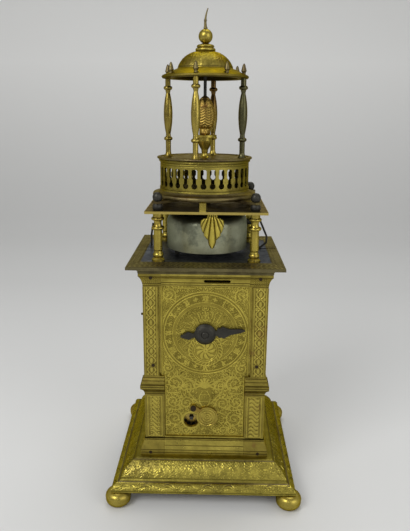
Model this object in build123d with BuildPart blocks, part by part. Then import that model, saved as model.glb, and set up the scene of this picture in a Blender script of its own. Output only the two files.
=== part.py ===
from build123d import *

import math
import os

os.makedirs("parts", exist_ok=True)

# A tower-shaped table clock with a striking movement. All sizes are millimetres.
# Z is up, the dial faces -Y, and the origin is the middle of the floor under the feet.

# Shared gaps
face_gap = 0.1  # between fixed pieces that lie side by side
running_gap = 0.4  # between a moving piece and what it passes
pivot_clearance = 0.05  # round a turning pivot, on the radius
reach = 200.0  # longer than anything that is cut or trimmed

# Feet and base
foot_height = 11.3
foot_radius = 9.3
foot_place = 63.5
base_height = 19.5
base_half = 68.0
base_edge = 1.4
base_torus_rise = 6.7
base_torus_swell = 1.4
base_ovolo_swell = 1.6
base_ovolo_drop = 5.9
base_torus_in = 5.7
base_groove = 0.9
base_top_half = 51.6
base_wall = 4.0
base_top = foot_height + base_height

# Tower outline
tower_half = 44.65
post_height = 143.2
plinth_out = 3.35
plinth_band = 4.2
plinth_height = 12.7
plinth_fillet = 1.2
die_height = 36.5
waist_height = 14.6
capital_height = 9.8
moulding_out = 2.9
fillet_out = 0.75
post_top = base_top + post_height
plinth_top = base_top + plinth_height
die_top = plinth_top + die_height
waist_top = die_top + waist_height
shaft_top = post_top - capital_height

# Corner posts, rails and panels
post_edge = 30.0
shaft_edge = 33.8
capital_edge = 31.5
groove_depth = 2.65
groove_width = 1.5
rail_depth = 5.65
rail_rise = 1.7
panel_thick = 2.4
panel_recess = 1.45
panel_top_gap = 0.3
panel_bottom = plinth_top + rail_rise
panel_top = shaft_top + panel_top_gap
panel_wide_half = shaft_edge - groove_width
panel_face = tower_half - panel_recess
panel_back = panel_face - panel_thick
case_pin_radius = 1.2
case_pin_proud = 0.35
case_pin_depth = 3.0
shaft_pin_x = 38.0
shaft_pin_rise = 8.8
capital_pin_x = 38.6
capital_pin_drop = 2.8
plinth_pin_x = 40.6
plinth_pin_rise = 2.4
frieze_slot_width = 19.1
frieze_slot_height = 2.2
frieze_slot_x = 8.25
frieze_slot_drop = 5.4

# Back door
door_clearance = 0.3
hinge_pin_radius = 0.9
hinge_pin_length = 3.0
knob_radius = 2.6
knob_length = 5.0

# Cornice and the iron plate in it
cornice_half = 55.1
cornice_moulding_half = 50.0
cornice_drop = 4.6
cornice_thick = 1.8
cornice_window_x = 46.8
cornice_window_y = 38.0
cornice_ledge = 1.5
iron_plate_thick = 2.0
hammer_slot_in = 36.0
hammer_slot_out = 53.8
cornice_swell = 0.6
cornice_under = post_top + cornice_drop
cornice_top = cornice_under + cornice_thick
iron_under = cornice_top - iron_plate_thick

# Bell stage
pillar_place = 34.3
pillar_height = 35.1
pillar_shaft_radius = 3.15
pillar_ring_radius = 4.6
canopy_half = 42.8
canopy_thick = 1.8
canopy_under = cornice_top + pillar_height
canopy_top = canopy_under + canopy_thick
lower_nut_height = 4.4
lower_nut_radius = 3.7
upper_nut_height = 6.2
upper_nut_radius = 3.5
nut_bolt_radius = 1.5
bell_radius = 30.5
bell_wall = 2.0
bell_mouth = 184.5
bell_height = 27.0
bell_shoulder = 8.0
bell_stud_radius = 2.2
bell_nut_radius = 5.0
bell_nut_height = 3.0
bell_stud_proud = 1.0
leaf_width = 16.5
leaf_height = 24.8
leaf_thick = 1.6
leaf_x = 4.2
leaf_y = -40.0

# Gallery
bracket_thick = 1.7
bracket_width = 6.0
bracket_ring_radius = 30.0
strap_width = 4.6
strap_thick = 1.2
strap_x = -2.5
strap_gap = 3.0
strap_lip = 0.6
strap_foot = 4.4
ring_flange_radius = 38.7
ring_flange_height = 2.6
ring_height = 4.6
ring_round = 0.6
ring_neck = 2.0
gallery_aside = -2.3
drum_radius = 33.35
drum_wall = 2.0
drum_height = 22.7
drum_openings = 32
opening_width = 4.2
opening_bottom = 3.4
opening_waist = 10.2
opening_top = 17.0
drum_moulding_out = 0.6
drum_moulding_height = 2.2
drum_band = 2.4
drum_band_out = 0.4
gallery_plate_radius = 35.2
gallery_plate_thick = 1.5
gallery_rim = 2.2
gallery_rim_rise = 0.7
plate_round = 0.6
bracket_bottom = canopy_top + lower_nut_height
ring_bottom = bracket_bottom + bracket_thick
drum_bottom = ring_bottom + ring_height
gallery_floor = drum_bottom + drum_height
gallery_top = gallery_floor + gallery_plate_thick

# Cupola
column_circle = 28.0
column_turn = -12.0
column_height = 54.9
column_radius = 1.95
column_belly = 3.2
column_foot = 3.5
roof_radius = 31.35
roof_rim = 1.9
roof_slope = 4.8
roof_wall = 1.6
roof_ledge = 7.5
dome_radius = 20.0
dome_height = 11.7
finial_height = 8.0
finial_radius = 2.0
roof_bottom = gallery_top + column_height
roof_edge = roof_bottom + roof_rim
dome_bottom = roof_edge + roof_slope
dome_top = dome_bottom + dome_height
collar_height = 5.0
collar_radius = 6.7
ball_radius = 5.0
spire_height = 13.7
spire_radius = 1.45
rod_radius = 1.15
pedestal_stem = 4.1
pedestal_cup_radius = 5.2
pedestal_disc_radius = 8.7
pedestal_height = 16.1
pedestal_neck = 2.4
pedestal_disc_thick = 1.6
figure_height = 27.6
figure_radius = 5.7
figure_foot = 3.2

# Movement frame
frame_plate_thick = 2.0
frame_plate_half = 30.0
base_plate_half = 38.5
front_plate_y = -34.0
middle_plate_y = 4.6
back_plate_y = 36.0
frame_bottom = base_top + frame_plate_thick
hour_axis = (0.0, 128.4)
winding_axis = (-10.0, 58.0)
strike_axis = (10.0, 58.0)
arbor_radius = 1.2
pivot_radius = 0.8
end_shake = 0.3

# Wheels, with the teeth counted for the real running of such a movement
great_teeth = 64
pinion_leaves = 8
great_module = 0.7
second_teeth = 64
second_module = 0.65
second_wheel_setback = 4.0
motion_pinion_teeth = 10
motion_teeth = 40
motion_module = 1.22
hour_pinion_teeth = 16
hour_teeth = 48
hour_module = 1.28
strike_count_teeth = 32
count_teeth = 39
count_module = 0.7
count_rim = 2.4
count_notch = 0.7
count_disc_thick = 1.0
wheel_thick = 1.2
spoke_width = 2.4
hub_radius = 3.2
rim_depth = 3.2
pinion_length = 2.6
second_lean = 6.0
fly_lean = 2.0
count_lean = 14.0
crown_teeth = 15
crown_radius = 9.0
crown_rim = 1.4
crown_tooth_height = 2.4
crown_tooth_half = 1.3
crown_tip_half = 0.25
crown_hub_radius = 2.6
verge_gap = 2.2
verge_setback = 14.4
verge_below = 6.0
verge_radius = 0.8
pallet_reach = 2.0
pallet_height = 2.6
pallet_thick = 0.4
pallet_angle = 47.5
balance_radius = 16.5
balance_rim = 1.6
balance_thick = 1.2
balance_rise = 5.0
balance_spoke = 2.0
balance_hub_radius = 2.8
cock_aside = 5.6
cock_foot = 3.2
cock_rise = 5.4
cock_width = 4.0
cock_thick = 2.4
cock_nose = 3.0
potence_aside = 4.0
potence_width = 3.2
potence_height = 3.6

# Barrels
barrel_radius = 16.5
barrel_wall = 1.2
going_barrel_length = 21.0
strike_barrel_length = 17.0
winding_arbor_radius = 1.8
winding_square = 2.6
pipe_wall = 1.1
spring_strip = 0.8
spring_turns = 5

# Hand, shutter, hammer
hand_tip = 28.8
hand_tail = 17.9
hand_angle = 6.5
hand_thick = 1.2
hand_boss_radius = 7.8
hand_boss_height = 2.2
hand_stand_off = 0.9
hand_leaf = 4.5
hand_tail_leaf = 3.1
hand_root = 2.2
hour_arbor_radius = 1.6
shutter_radius = 8.1
shutter_thick = 1.4
shutter_centre = (2.0, 61.7)
shutter_pivot = (-8.4, 68.9)
shutter_screw_radius = 1.1
shutter_arm_width = 4.4
shutter_lift = 0.15
screw_head_height = 0.9
winding_hole_radius = 5.6
hammer_axis = (27.5, 101.0)
hammer_plane = 7.7
hammer_rod_radius = 0.8
hammer_head_radius = 2.4
hammer_head_gap = 1.0
hammer_head_length = 5.0
hammer_head_z = 202.0
hammer_waist_x = 32.0
hammer_knee_x = 46.6
hammer_wrist_x = 40.6
hammer_tail_drop = 10.4
wire_bend = 2.0
left_wire_place = (-44.6, 15.5)
left_wire_rise = 18.0
left_wire_lean = 1.6
pin_circle = 16.0
hammer_pins = 8
fly_reach = 9.0
fly_thick = 0.6
fly_length = 13.4
fly_setback = 6.0
pin_wheel_setback = 4.8
pin_length = 3.0
slot_width = 3.0


def outline(start, *steps):
    """Straight to a single point, and round through the first of two points to the second."""
    here = start
    for step in steps:
        if isinstance(step[0], tuple):
            through, there = step
            ThreePointArc(here, through, there)
        else:
            there = step
            Line(here, there)
        here = there
    if here != start:
        Line(here, start)


def save(piece, name, aside=0.0):
    """Names a finished piece and writes it, a little aside where the clock has settled."""
    solid = piece.part.moved(Location((aside, 0, 0)))
    solid.label = name
    export_step(solid, f"parts/{name}.step")


def turned(start, *steps):
    """A piece turned on a lathe about Z, from half of its outline."""
    with BuildPart() as piece:
        with BuildSketch(Plane.XZ):
            with BuildLine():
                outline(start, *steps)
            make_face()
        revolve(axis=Axis.Z)
    return piece.part


def square_moulding(start, *steps):
    """A solid that is square at every level, from half of its outline."""
    with BuildPart() as piece:
        for plane, mode in ((Plane.XZ, Mode.ADD), (Plane.YZ, Mode.INTERSECT)):
            with BuildSketch(plane):
                with BuildLine():
                    outline(start, *steps)
                make_face()
                mirror(about=Plane.YZ)
            extrude(amount=reach, both=True, mode=mode)
    return piece.part


def facing(place, y):
    """A plane that looks to the front, with its middle at (x, z) and the given y."""
    return Plane(origin=(place[0], y, place[1]), x_dir=(1, 0, 0), z_dir=(0, -1, 0))


def direction(here, there):
    """The angle in degrees from one arbor to another, as seen from the front."""
    return math.degrees(math.atan2(there[1] - here[1], there[0] - here[0]))


def above(here, distance, shift):
    """The arbor at a given distance, upward and shifted sideways."""
    return (here[0] + shift, here[1] + math.sqrt(distance**2 - shift**2))


def between(here, there, first, second):
    """The arbor at the first distance from one and the second from the other, on the left."""
    span = math.dist(here, there)
    along = (first**2 - second**2 + span**2) / (2 * span)
    aside = math.sqrt(first**2 - along**2)
    ux, uz = (there[0] - here[0]) / span, (there[1] - here[1]) / span
    return (here[0] + along * ux - aside * uz, here[1] + along * uz + aside * ux)


def mesh_distance(teeth, leaves, module):
    """How far apart two meshing wheels stand."""
    return module * (teeth + leaves) / 2


def teeth_points(teeth, module, tooth_at):
    """The corners of a toothed wheel with straight flanks, one tooth pointing at tooth_at."""
    pitch = 360 / teeth
    pitch_radius = module * teeth / 2
    root, tip = pitch_radius - 1.1 * module, pitch_radius + 0.75 * module
    corners = ((root, -0.25), (tip, -0.10), (tip, 0.10), (root, 0.25))
    points = []
    for tooth in range(teeth):
        for radius, share in corners:
            angle = math.radians(tooth_at + (tooth + share) * pitch)
            points.append((radius * math.cos(angle), radius * math.sin(angle)))
    return points


def toothed(place, y_front, thick, teeth, module, tooth_at, bore=0.0, spokes=False):
    """A wheel or pinion, with four spokes where asked, and a round bore."""
    rim = module * (teeth / 2 - rim_depth)
    with BuildPart() as wheel:
        with BuildSketch(facing(place, y_front + thick)):
            with BuildLine():
                Polyline(*teeth_points(teeth, module, tooth_at), close=True)
            make_face()
            if spokes:
                Circle(rim, mode=Mode.SUBTRACT)
                Rectangle(2 * rim + module, spoke_width, rotation=45)
                Rectangle(2 * rim + module, spoke_width, rotation=-45)
                Circle(hub_radius)
            if bore:
                Circle(bore, mode=Mode.SUBTRACT)
        extrude(amount=thick)
    return wheel.part


def rod(place, y_front, y_back, radius, bore=0.0):
    """A round bar along Y."""
    with BuildPart() as bar:
        with BuildSketch(facing(place, y_back)):
            Circle(radius)
            if bore:
                Circle(bore, mode=Mode.SUBTRACT)
        extrude(amount=y_back - y_front)
    return bar.part


def arbor(place, y_front, y_back):
    """An arbor between two plates, with thinner pivots that run in their holes."""
    with BuildPart() as staff:
        add(rod(place, y_front + end_shake, y_back - end_shake, arbor_radius))
        add(rod(place, y_front - frame_plate_thick, y_back + frame_plate_thick, pivot_radius))
    return staff.part


# Base and feet
base_solid = square_moulding(
    (0, foot_height),
    (base_half, foot_height),
    (base_half, foot_height + base_edge),
    (
        (base_half - base_torus_swell, foot_height + base_torus_rise * 0.64),
        (base_half - base_torus_in, foot_height + base_torus_rise),
    ),
    (base_half - base_torus_in - base_groove, foot_height + base_torus_rise + base_groove),
    (
        ((base_half + base_top_half) / 2 - base_ovolo_swell, base_top - base_ovolo_drop),
        (base_top_half, base_top),
    ),
    (0, base_top),
)
with BuildPart() as base_moulding:
    add(base_solid)
    with BuildSketch(Plane.XY.offset(foot_height)):
        Rectangle(2 * (base_half - 3 * base_wall), 2 * (base_half - 3 * base_wall))
    with BuildSketch(Plane.XY.offset(base_top - base_wall)):
        Rectangle(2 * (base_top_half - 1.5 * base_wall), 2 * (base_top_half - 1.5 * base_wall))
    loft(mode=Mode.SUBTRACT)
save(base_moulding, "base_moulding")

foot = turned(
    (0, 0),
    (foot_radius * 0.55, 0),
    ((foot_radius * 0.96, foot_height * 0.26), (foot_radius, foot_height * 0.5)),
    ((foot_radius * 0.92, foot_height * 0.84), (foot_radius * 0.62, foot_height)),
    (0, foot_height),
)
with BuildPart() as bun_feet:
    with GridLocations(2 * foot_place, 2 * foot_place, 2, 2):
        add(foot)
save(bun_feet, "bun_feet")

# Tower outline, which the posts and the rails share
tower_solid = square_moulding(
    (0, base_top),
    (tower_half + plinth_out, base_top),
    (tower_half + plinth_out, base_top + plinth_band),
    (
        (tower_half + plinth_out * 0.62, base_top + plinth_height * 0.62),
        (tower_half + fillet_out, plinth_top - plinth_fillet),
    ),
    (tower_half + fillet_out, plinth_top),
    (tower_half, plinth_top),
    (tower_half, die_top),
    (
        (tower_half + moulding_out * 0.24, die_top + waist_height * 0.2),
        (tower_half + moulding_out, die_top + waist_height * 0.36),
    ),
    (tower_half + moulding_out, die_top + waist_height * 0.56),
    (tower_half + moulding_out * 0.74, die_top + waist_height * 0.6),
    (
        (tower_half + moulding_out * 0.48, die_top + waist_height * 0.8),
        (tower_half, waist_top),
    ),
    (tower_half, shaft_top),
    (
        (tower_half + moulding_out * 0.3, shaft_top + capital_height * 0.46),
        (tower_half + moulding_out, shaft_top + capital_height * 0.8),
    ),
    (tower_half + moulding_out, post_top),
    (0, post_top),
)


rail_inside = tower_half - rail_depth


def corner(edge_x, edge_y, side_x, side_y):
    """Draws the square corner that lies beyond two edges."""
    with Locations((side_x * (edge_x + reach / 2), side_y * (edge_y + reach / 2))):
        Rectangle(reach, reach)


def corner_post(name, side_x, side_y):
    """One post from the base to the cornice, with grooves beside its fixed panels."""
    post_back = tower_half - groove_depth
    door_post = side_y > 0
    shaft_x = post_edge if door_post else panel_wide_half
    capital_x = post_edge if door_post else capital_edge
    with BuildPart() as post:
        with BuildSketch(Plane.XY.offset(base_top)):
            corner(post_edge, post_edge, side_x, side_y)
        extrude(amount=waist_top - base_top)
        with BuildSketch(Plane.XY.offset(waist_top)):
            groove_end = shaft_edge - reach / 2
            groove_middle = post_back + reach / 2
            corner(shaft_x, panel_wide_half, side_x, side_y)
            with Locations((side_x * groove_middle, side_y * groove_end)):
                Rectangle(reach, reach, mode=Mode.SUBTRACT)
            if not door_post:
                with Locations((side_x * groove_end, side_y * groove_middle)):
                    Rectangle(reach, reach, mode=Mode.SUBTRACT)
        extrude(amount=shaft_top - waist_top)
        with BuildSketch(Plane.XY.offset(shaft_top)):
            corner(capital_x, capital_edge, side_x, side_y)
        extrude(amount=capital_height)
        add(tower_solid, mode=Mode.INTERSECT)
        with BuildSketch(Plane.XY.offset(base_top)):
            Rectangle(2 * rail_inside, 2 * rail_inside)
        extrude(amount=post_height, mode=Mode.SUBTRACT)
        for x, z, y in pin_places:
            place = (side_x * x, z)
            y_face, y_end = side_y * y, side_y * (y - case_pin_depth)
            hole = rod(place, min(y_face, y_end), max(y_face, y_end), case_pin_radius + pivot_clearance)
            add(hole, mode=Mode.SUBTRACT)
    save(post, name)


# Iron pins that hold the posts, each with the y that it reaches
pin_places = (
    (shaft_pin_x, waist_top + shaft_pin_rise, tower_half + case_pin_proud),
    (capital_pin_x, post_top - capital_pin_drop, tower_half + moulding_out + case_pin_proud),
    (plinth_pin_x, base_top + plinth_pin_rise, tower_half + plinth_out + case_pin_proud),
)
corner_post("corner_post_front_left", -1, -1)
corner_post("corner_post_front_right", 1, -1)
corner_post("corner_post_back_left", -1, 1)
corner_post("corner_post_back_right", 1, 1)

with BuildPart() as case_pins:
    for x, z, y in pin_places:
        for side_x in (-1, 1):
            add(rod((side_x * x, z), -y, -y + case_pin_depth, case_pin_radius))
            add(rod((side_x * x, z), y - case_pin_depth, y, case_pin_radius))
    screw_head_back = -panel_face - shutter_thick - 2 * shutter_lift
    screw_head_front = screw_head_back - screw_head_height
    add(rod(shutter_pivot, screw_head_front, -panel_back, shutter_screw_radius))
    add(rod(shutter_pivot, screw_head_front, screw_head_back, 2 * shutter_screw_radius))
save(case_pins, "case_pins")

# Rails between the posts at the plinth and at the frieze
door_hinge_x = -(post_edge - door_clearance - panel_thick / 2)
door_hinge_y = panel_face - panel_thick / 2


def rails(name, half, bottom, top, back_half):
    """Four rails, one on each side of the tower, with a hinge hole in the back one."""
    with BuildPart() as ring:
        with BuildSketch(Plane.XY.offset(bottom)):
            for x, y, width, depth in (
                (0, -1, 2 * half, reach),
                (0, 1, 2 * back_half, reach),
                (-1, 0, reach, 2 * half),
                (1, 0, reach, 2 * half),
            ):
                shift = rail_inside + reach / 2
                with Locations((x * shift, y * shift)):
                    Rectangle(width, depth)
        extrude(amount=top - bottom)
        add(tower_solid, mode=Mode.INTERSECT)
        with BuildSketch(Plane.XY.offset(panel_bottom - hinge_pin_length)):
            with Locations((door_hinge_x, door_hinge_y)):
                Circle(hinge_pin_radius + pivot_clearance)
        extrude(amount=panel_top - panel_bottom + 2 * hinge_pin_length, mode=Mode.SUBTRACT)
        with BuildSketch(facing((frieze_slot_x, post_top - frieze_slot_drop), 0)):
            SlotOverall(frieze_slot_width, frieze_slot_height)
        extrude(amount=reach, mode=Mode.SUBTRACT)
    save(ring, name)


rails("plinth_rails", post_edge - face_gap, base_top, panel_bottom, post_edge - face_gap)
rails("frieze_rails", capital_edge - face_gap, panel_top, post_top, post_edge - face_gap)


# Front and side panels
def panel_outline():
    """Draws a panel that widens above the waist moulding."""
    low, high = post_edge - face_gap, panel_wide_half - face_gap
    outline(
        (-low, panel_bottom),
        (low, panel_bottom),
        (low, waist_top + face_gap),
        (high, waist_top + face_gap),
        (high, shaft_top),
        (-high, shaft_top),
        (-high, waist_top + face_gap),
        (-low, waist_top + face_gap),
    )


with BuildPart() as front_panel:
    with BuildSketch(Plane.XZ.offset(panel_back)):
        with BuildLine():
            panel_outline()
        make_face()
        with Locations(winding_axis):
            Circle(winding_hole_radius, mode=Mode.SUBTRACT)
        with Locations(hour_axis):
            Circle(hour_arbor_radius + running_gap, mode=Mode.SUBTRACT)
        with Locations(shutter_pivot):
            Circle(shutter_screw_radius + pivot_clearance, mode=Mode.SUBTRACT)
    extrude(amount=panel_thick)
save(front_panel, "front_panel")


def side_panel(name, side):
    """A side panel, the same size as the front one but with no holes."""
    plane = Plane(origin=(side * panel_back, 0, 0), x_dir=(0, side, 0), z_dir=(side, 0, 0))
    with BuildPart() as panel:
        with BuildSketch(plane):
            with BuildLine():
                panel_outline()
            make_face()
        extrude(amount=panel_thick)
    save(panel, name)


side_panel("left_panel", -1)
side_panel("right_panel", 1)

# Back door, with a rounded hinge edge, two pins and a knob
with BuildPart() as back_door:
    door_height = panel_top - panel_bottom - 2 * door_clearance
    with BuildSketch(Plane.XY.offset(panel_bottom + door_clearance)):
        with Locations((door_hinge_x, door_hinge_y)):
            Circle(panel_thick / 2)
        with Locations((0, door_hinge_y)):
            Rectangle(-2 * door_hinge_x, panel_thick)
    extrude(amount=door_height)
    with BuildSketch(Plane.XY.offset(panel_bottom + door_clearance - hinge_pin_length)):
        with Locations((door_hinge_x, door_hinge_y)):
            Circle(hinge_pin_radius)
    extrude(amount=door_height + 2 * hinge_pin_length)
    knob_place = (-door_hinge_x - 2 * knob_radius, (panel_bottom + panel_top) / 2)
    add(rod(knob_place, panel_face, panel_face + knob_length * 0.5, knob_radius * 0.5))
    add(rod(knob_place, panel_face + knob_length * 0.5, panel_face + knob_length, knob_radius))
save(back_door, "back_door")

# Cornice frame, with a slot for the hammer, and the iron plate that lies in it
cornice_solid = square_moulding(
    (0, post_top),
    (tower_half + moulding_out, post_top),
    (
        (tower_half + moulding_out + cornice_swell, post_top + cornice_drop * 0.6),
        (cornice_moulding_half, cornice_under),
    ),
    (cornice_half, cornice_under),
    (cornice_half, cornice_top),
    (0, cornice_top),
)
with BuildPart() as hammer_slot:
    with BuildSketch(Plane.XY.offset(post_top)):
        with Locations(((hammer_slot_in + hammer_slot_out) / 2, hammer_plane)):
            Rectangle(hammer_slot_out - hammer_slot_in, slot_width)
    extrude(amount=cornice_top - post_top)

with BuildPart() as cornice_plate:
    add(cornice_solid)
    with BuildSketch(Plane.XY.offset(post_top)):
        Rectangle(
            2 * (cornice_window_x - cornice_ledge), 2 * (cornice_window_y - cornice_ledge)
        )
    extrude(amount=cornice_top - post_top, mode=Mode.SUBTRACT)
    with BuildSketch(Plane.XY.offset(iron_under)):
        Rectangle(2 * cornice_window_x, 2 * cornice_window_y)
    extrude(amount=iron_plate_thick, mode=Mode.SUBTRACT)
    add(hammer_slot.part, mode=Mode.SUBTRACT)
save(cornice_plate, "cornice_plate")

# Where the arbors stand, worked out from the meshing wheels
great_distance = mesh_distance(great_teeth, pinion_leaves, great_module)
second_distance = mesh_distance(second_teeth, pinion_leaves, second_module)
motion_distance = mesh_distance(motion_teeth, motion_pinion_teeth, motion_module)
hour_distance = mesh_distance(hour_teeth, hour_pinion_teeth, hour_module)
second_axis = above(winding_axis, great_distance, second_lean)
crown_axis = above(second_axis, second_distance, -second_axis[0])
motion_axis = between(winding_axis, hour_axis, motion_distance, hour_distance)
pin_axis = above(strike_axis, great_distance, -second_lean)
fly_axis = above(pin_axis, second_distance, fly_lean)
count_distance = mesh_distance(strike_count_teeth, count_teeth, count_module)
count_axis = above(strike_axis, count_distance, -count_lean)
verge_y = middle_plate_y - frame_plate_thick - verge_setback


def frame_plate(name, y_back, holes):
    """An upright plate of the movement with its pivot holes, each an axis and a radius."""
    with BuildPart() as plate:
        with BuildSketch(facing((0, frame_bottom), y_back)):
            with Locations((0, (iron_under - frame_bottom) / 2)):
                Rectangle(2 * frame_plate_half, iron_under - frame_bottom)
            for axis, radius in holes:
                with Locations((axis[0], axis[1] - frame_bottom)):
                    Circle(radius + pivot_clearance, mode=Mode.SUBTRACT)
        extrude(amount=frame_plate_thick)
    save(plate, name)


middle_front = middle_plate_y - frame_plate_thick
back_inside = back_plate_y - frame_plate_thick
pipe_bore = winding_arbor_radius + pivot_clearance
pipe_radius = pipe_bore + pipe_wall
motion_stud_radius = 1.2
frame_plate(
    "front_pivot_plate",
    front_plate_y,
    (
        (winding_axis, pipe_radius),
        (second_axis, pivot_radius),
        (hour_axis, hour_arbor_radius),
        (motion_axis, motion_stud_radius),
    ),
)
frame_plate(
    "middle_pivot_plate",
    middle_plate_y,
    (
        (winding_axis, winding_arbor_radius),
        (strike_axis, winding_arbor_radius),
        (second_axis, pivot_radius),
        (crown_axis, pivot_radius),
        (pin_axis, pivot_radius),
        (fly_axis, pivot_radius),
        (hammer_axis, pivot_radius),
    ),
)
frame_plate(
    "back_pivot_plate",
    back_plate_y,
    (
        (strike_axis, pipe_radius),
        (pin_axis, pivot_radius),
        (fly_axis, pivot_radius),
        (hammer_axis, pivot_radius),
        (count_axis, motion_stud_radius),
    ),
)

with BuildPart() as movement_base_plate:
    with BuildSketch(Plane.XY.offset(base_top)):
        Rectangle(2 * base_plate_half, 2 * base_plate_half)
    extrude(amount=frame_plate_thick)
save(movement_base_plate, "movement_base_plate")

cock_x = -(balance_radius + cock_aside)
cock_top = cornice_top + balance_rise + cock_rise
with BuildPart() as movement_top_plate:
    with BuildSketch(Plane.XY.offset(iron_under)):
        Rectangle(2 * (cornice_window_x - face_gap), 2 * (cornice_window_y - face_gap))
        with Locations((0, verge_y)):
            Circle(verge_radius + running_gap, mode=Mode.SUBTRACT)
    extrude(amount=iron_plate_thick)
    add(hammer_slot.part, mode=Mode.SUBTRACT)
save(movement_top_plate, "movement_top_plate")

# Bell stage
pillar = turned(
    (0, 0),
    (pillar_ring_radius, 0),
    (pillar_ring_radius, pillar_height * 0.037),
    (pillar_shaft_radius, pillar_height * 0.074),
    ((pillar_shaft_radius * 1.2, pillar_height * 0.122), (pillar_shaft_radius, pillar_height * 0.17)),
    (pillar_shaft_radius * 0.92, pillar_height * 0.21),
    (pillar_shaft_radius, pillar_height * 0.24),
    (pillar_shaft_radius * 0.95, pillar_height * 0.65),
    ((pillar_ring_radius, pillar_height * 0.687), (pillar_shaft_radius, pillar_height * 0.724)),
    ((pillar_shaft_radius * 0.84, pillar_height * 0.786), (pillar_shaft_radius, pillar_height * 0.843)),
    ((pillar_ring_radius, pillar_height * 0.875), (pillar_shaft_radius * 1.1, pillar_height * 0.906)),
    (pillar_shaft_radius * 1.1, pillar_height),
    (0, pillar_height),
)
with BuildPart() as bell_pillars:
    for x in (-pillar_place, pillar_place):
        for y in (-pillar_place, pillar_place):
            add(Pos(x, y, cornice_top) * pillar)
save(bell_pillars, "bell_pillars")

with BuildPart() as canopy_plate:
    with BuildSketch(Plane.XY.offset(canopy_under)):
        Rectangle(2 * canopy_half, 2 * canopy_half)
        Circle(bell_stud_radius + pivot_clearance, mode=Mode.SUBTRACT)
        with GridLocations(2 * pillar_place, 2 * pillar_place, 2, 2):
            Circle(nut_bolt_radius + pivot_clearance, mode=Mode.SUBTRACT)
    extrude(amount=canopy_thick)
save(canopy_plate, "canopy_plate")

nut_rise = lower_nut_height + bracket_thick
lower_nut = turned(
    (0, 0),
    (lower_nut_radius * 0.86, 0),
    ((lower_nut_radius, lower_nut_height / 2), (lower_nut_radius * 0.8, lower_nut_height)),
    (0, lower_nut_height),
)
upper_nut = turned(
    (0, nut_rise),
    (upper_nut_radius * 0.7, nut_rise),
    (
        (upper_nut_radius, nut_rise + upper_nut_height / 2),
        (upper_nut_radius * 0.55, nut_rise + upper_nut_height * 0.95),
    ),
    (upper_nut_radius * 0.25, nut_rise + upper_nut_height),
    (0, nut_rise + upper_nut_height),
)
nut_bolt = turned(
    (0, -canopy_thick),
    (nut_bolt_radius, -canopy_thick),
    (nut_bolt_radius, nut_rise),
    (0, nut_rise),
)
with BuildPart() as nut_stack:
    add(lower_nut)
    add(upper_nut)
    add(nut_bolt)
with BuildPart() as ball_nuts:
    for x in (-pillar_place, pillar_place):
        for y in (-pillar_place, pillar_place):
            add(Pos(x, y, canopy_top) * nut_stack.part)
save(ball_nuts, "ball_nuts")

bell_side_top = bell_mouth + bell_height - bell_shoulder
bell_crown = bell_mouth + bell_height
bell_inner = bell_radius - bell_wall
shoulder_in = bell_shoulder * 0.3
bell_solid = turned(
    (bell_stud_radius + pivot_clearance, bell_crown),
    (bell_stud_radius + pivot_clearance, bell_crown - bell_wall),
    (bell_inner - bell_shoulder, bell_crown - bell_wall),
    (
        (bell_inner - shoulder_in, bell_crown - bell_wall - shoulder_in),
        (bell_inner, bell_side_top - bell_wall),
    ),
    (bell_inner, bell_mouth),
    (bell_radius, bell_mouth),
    (bell_radius, bell_side_top),
    (
        (bell_radius - shoulder_in, bell_crown - shoulder_in),
        (bell_radius - bell_shoulder, bell_crown),
    ),
)
with BuildPart() as bell:
    add(bell_solid)
save(bell, "bell")

bell_stud_piece = turned(
    (0, bell_crown - bell_wall - bell_nut_height),
    (bell_nut_radius, bell_crown - bell_wall - bell_nut_height),
    (bell_nut_radius, bell_crown - bell_wall),
    (bell_stud_radius, bell_crown - bell_wall),
    (bell_stud_radius, bell_crown),
    (bell_nut_radius, bell_crown),
    (bell_nut_radius, canopy_under),
    (bell_stud_radius, canopy_under),
    (bell_stud_radius, canopy_top + bell_stud_proud),
    (0, canopy_top + bell_stud_proud),
)
with BuildPart() as bell_stud:
    add(bell_stud_piece)
save(bell_stud, "bell_stud")


def leaf_at(across, down):
    """A point of the leaf, in shares of its width and height from the middle of its top."""
    return (leaf_x + across * leaf_width, canopy_under - down * leaf_height)


# A scallop leaf that hangs before the bell on a tab under the canopy
with BuildPart() as leaf_ornament:
    with BuildSketch(Plane.XZ.offset(-leaf_y - leaf_thick / 2)):
        with BuildLine():
            outline(
                leaf_at(-0.2, 0),
                leaf_at(-0.22, 0.12),
                leaf_at(-0.48, 0.16),
                (leaf_at(-0.5, 0.36), leaf_at(-0.38, 0.54)),
                (leaf_at(-0.31, 0.66), leaf_at(-0.2, 0.72)),
                (leaf_at(-0.14, 0.9), leaf_at(0, 1)),
                (leaf_at(0.14, 0.9), leaf_at(0.2, 0.72)),
                (leaf_at(0.31, 0.66), leaf_at(0.38, 0.54)),
                (leaf_at(0.5, 0.36), leaf_at(0.48, 0.16)),
                leaf_at(0.22, 0.12),
                leaf_at(0.2, 0),
            )
        make_face()
    extrude(amount=leaf_thick)
save(leaf_ornament, "leaf_ornament")

# Gallery, carried on crossed straps that the corner nuts clamp
bracket_length = 2 * math.hypot(pillar_place, pillar_place) + bracket_width
with BuildPart() as gallery_bracket:
    with BuildSketch(Plane.XY.offset(bracket_bottom)):
        Circle(bracket_ring_radius)
        Circle(bracket_ring_radius - bracket_width, mode=Mode.SUBTRACT)
        for turn in (45, -45):
            Rectangle(bracket_length, bracket_width, rotation=turn)
        with GridLocations(2 * pillar_place, 2 * pillar_place, 2, 2):
            Circle(nut_bolt_radius + pivot_clearance, mode=Mode.SUBTRACT)
    extrude(amount=bracket_thick)
save(gallery_bracket, "gallery_bracket")

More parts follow.
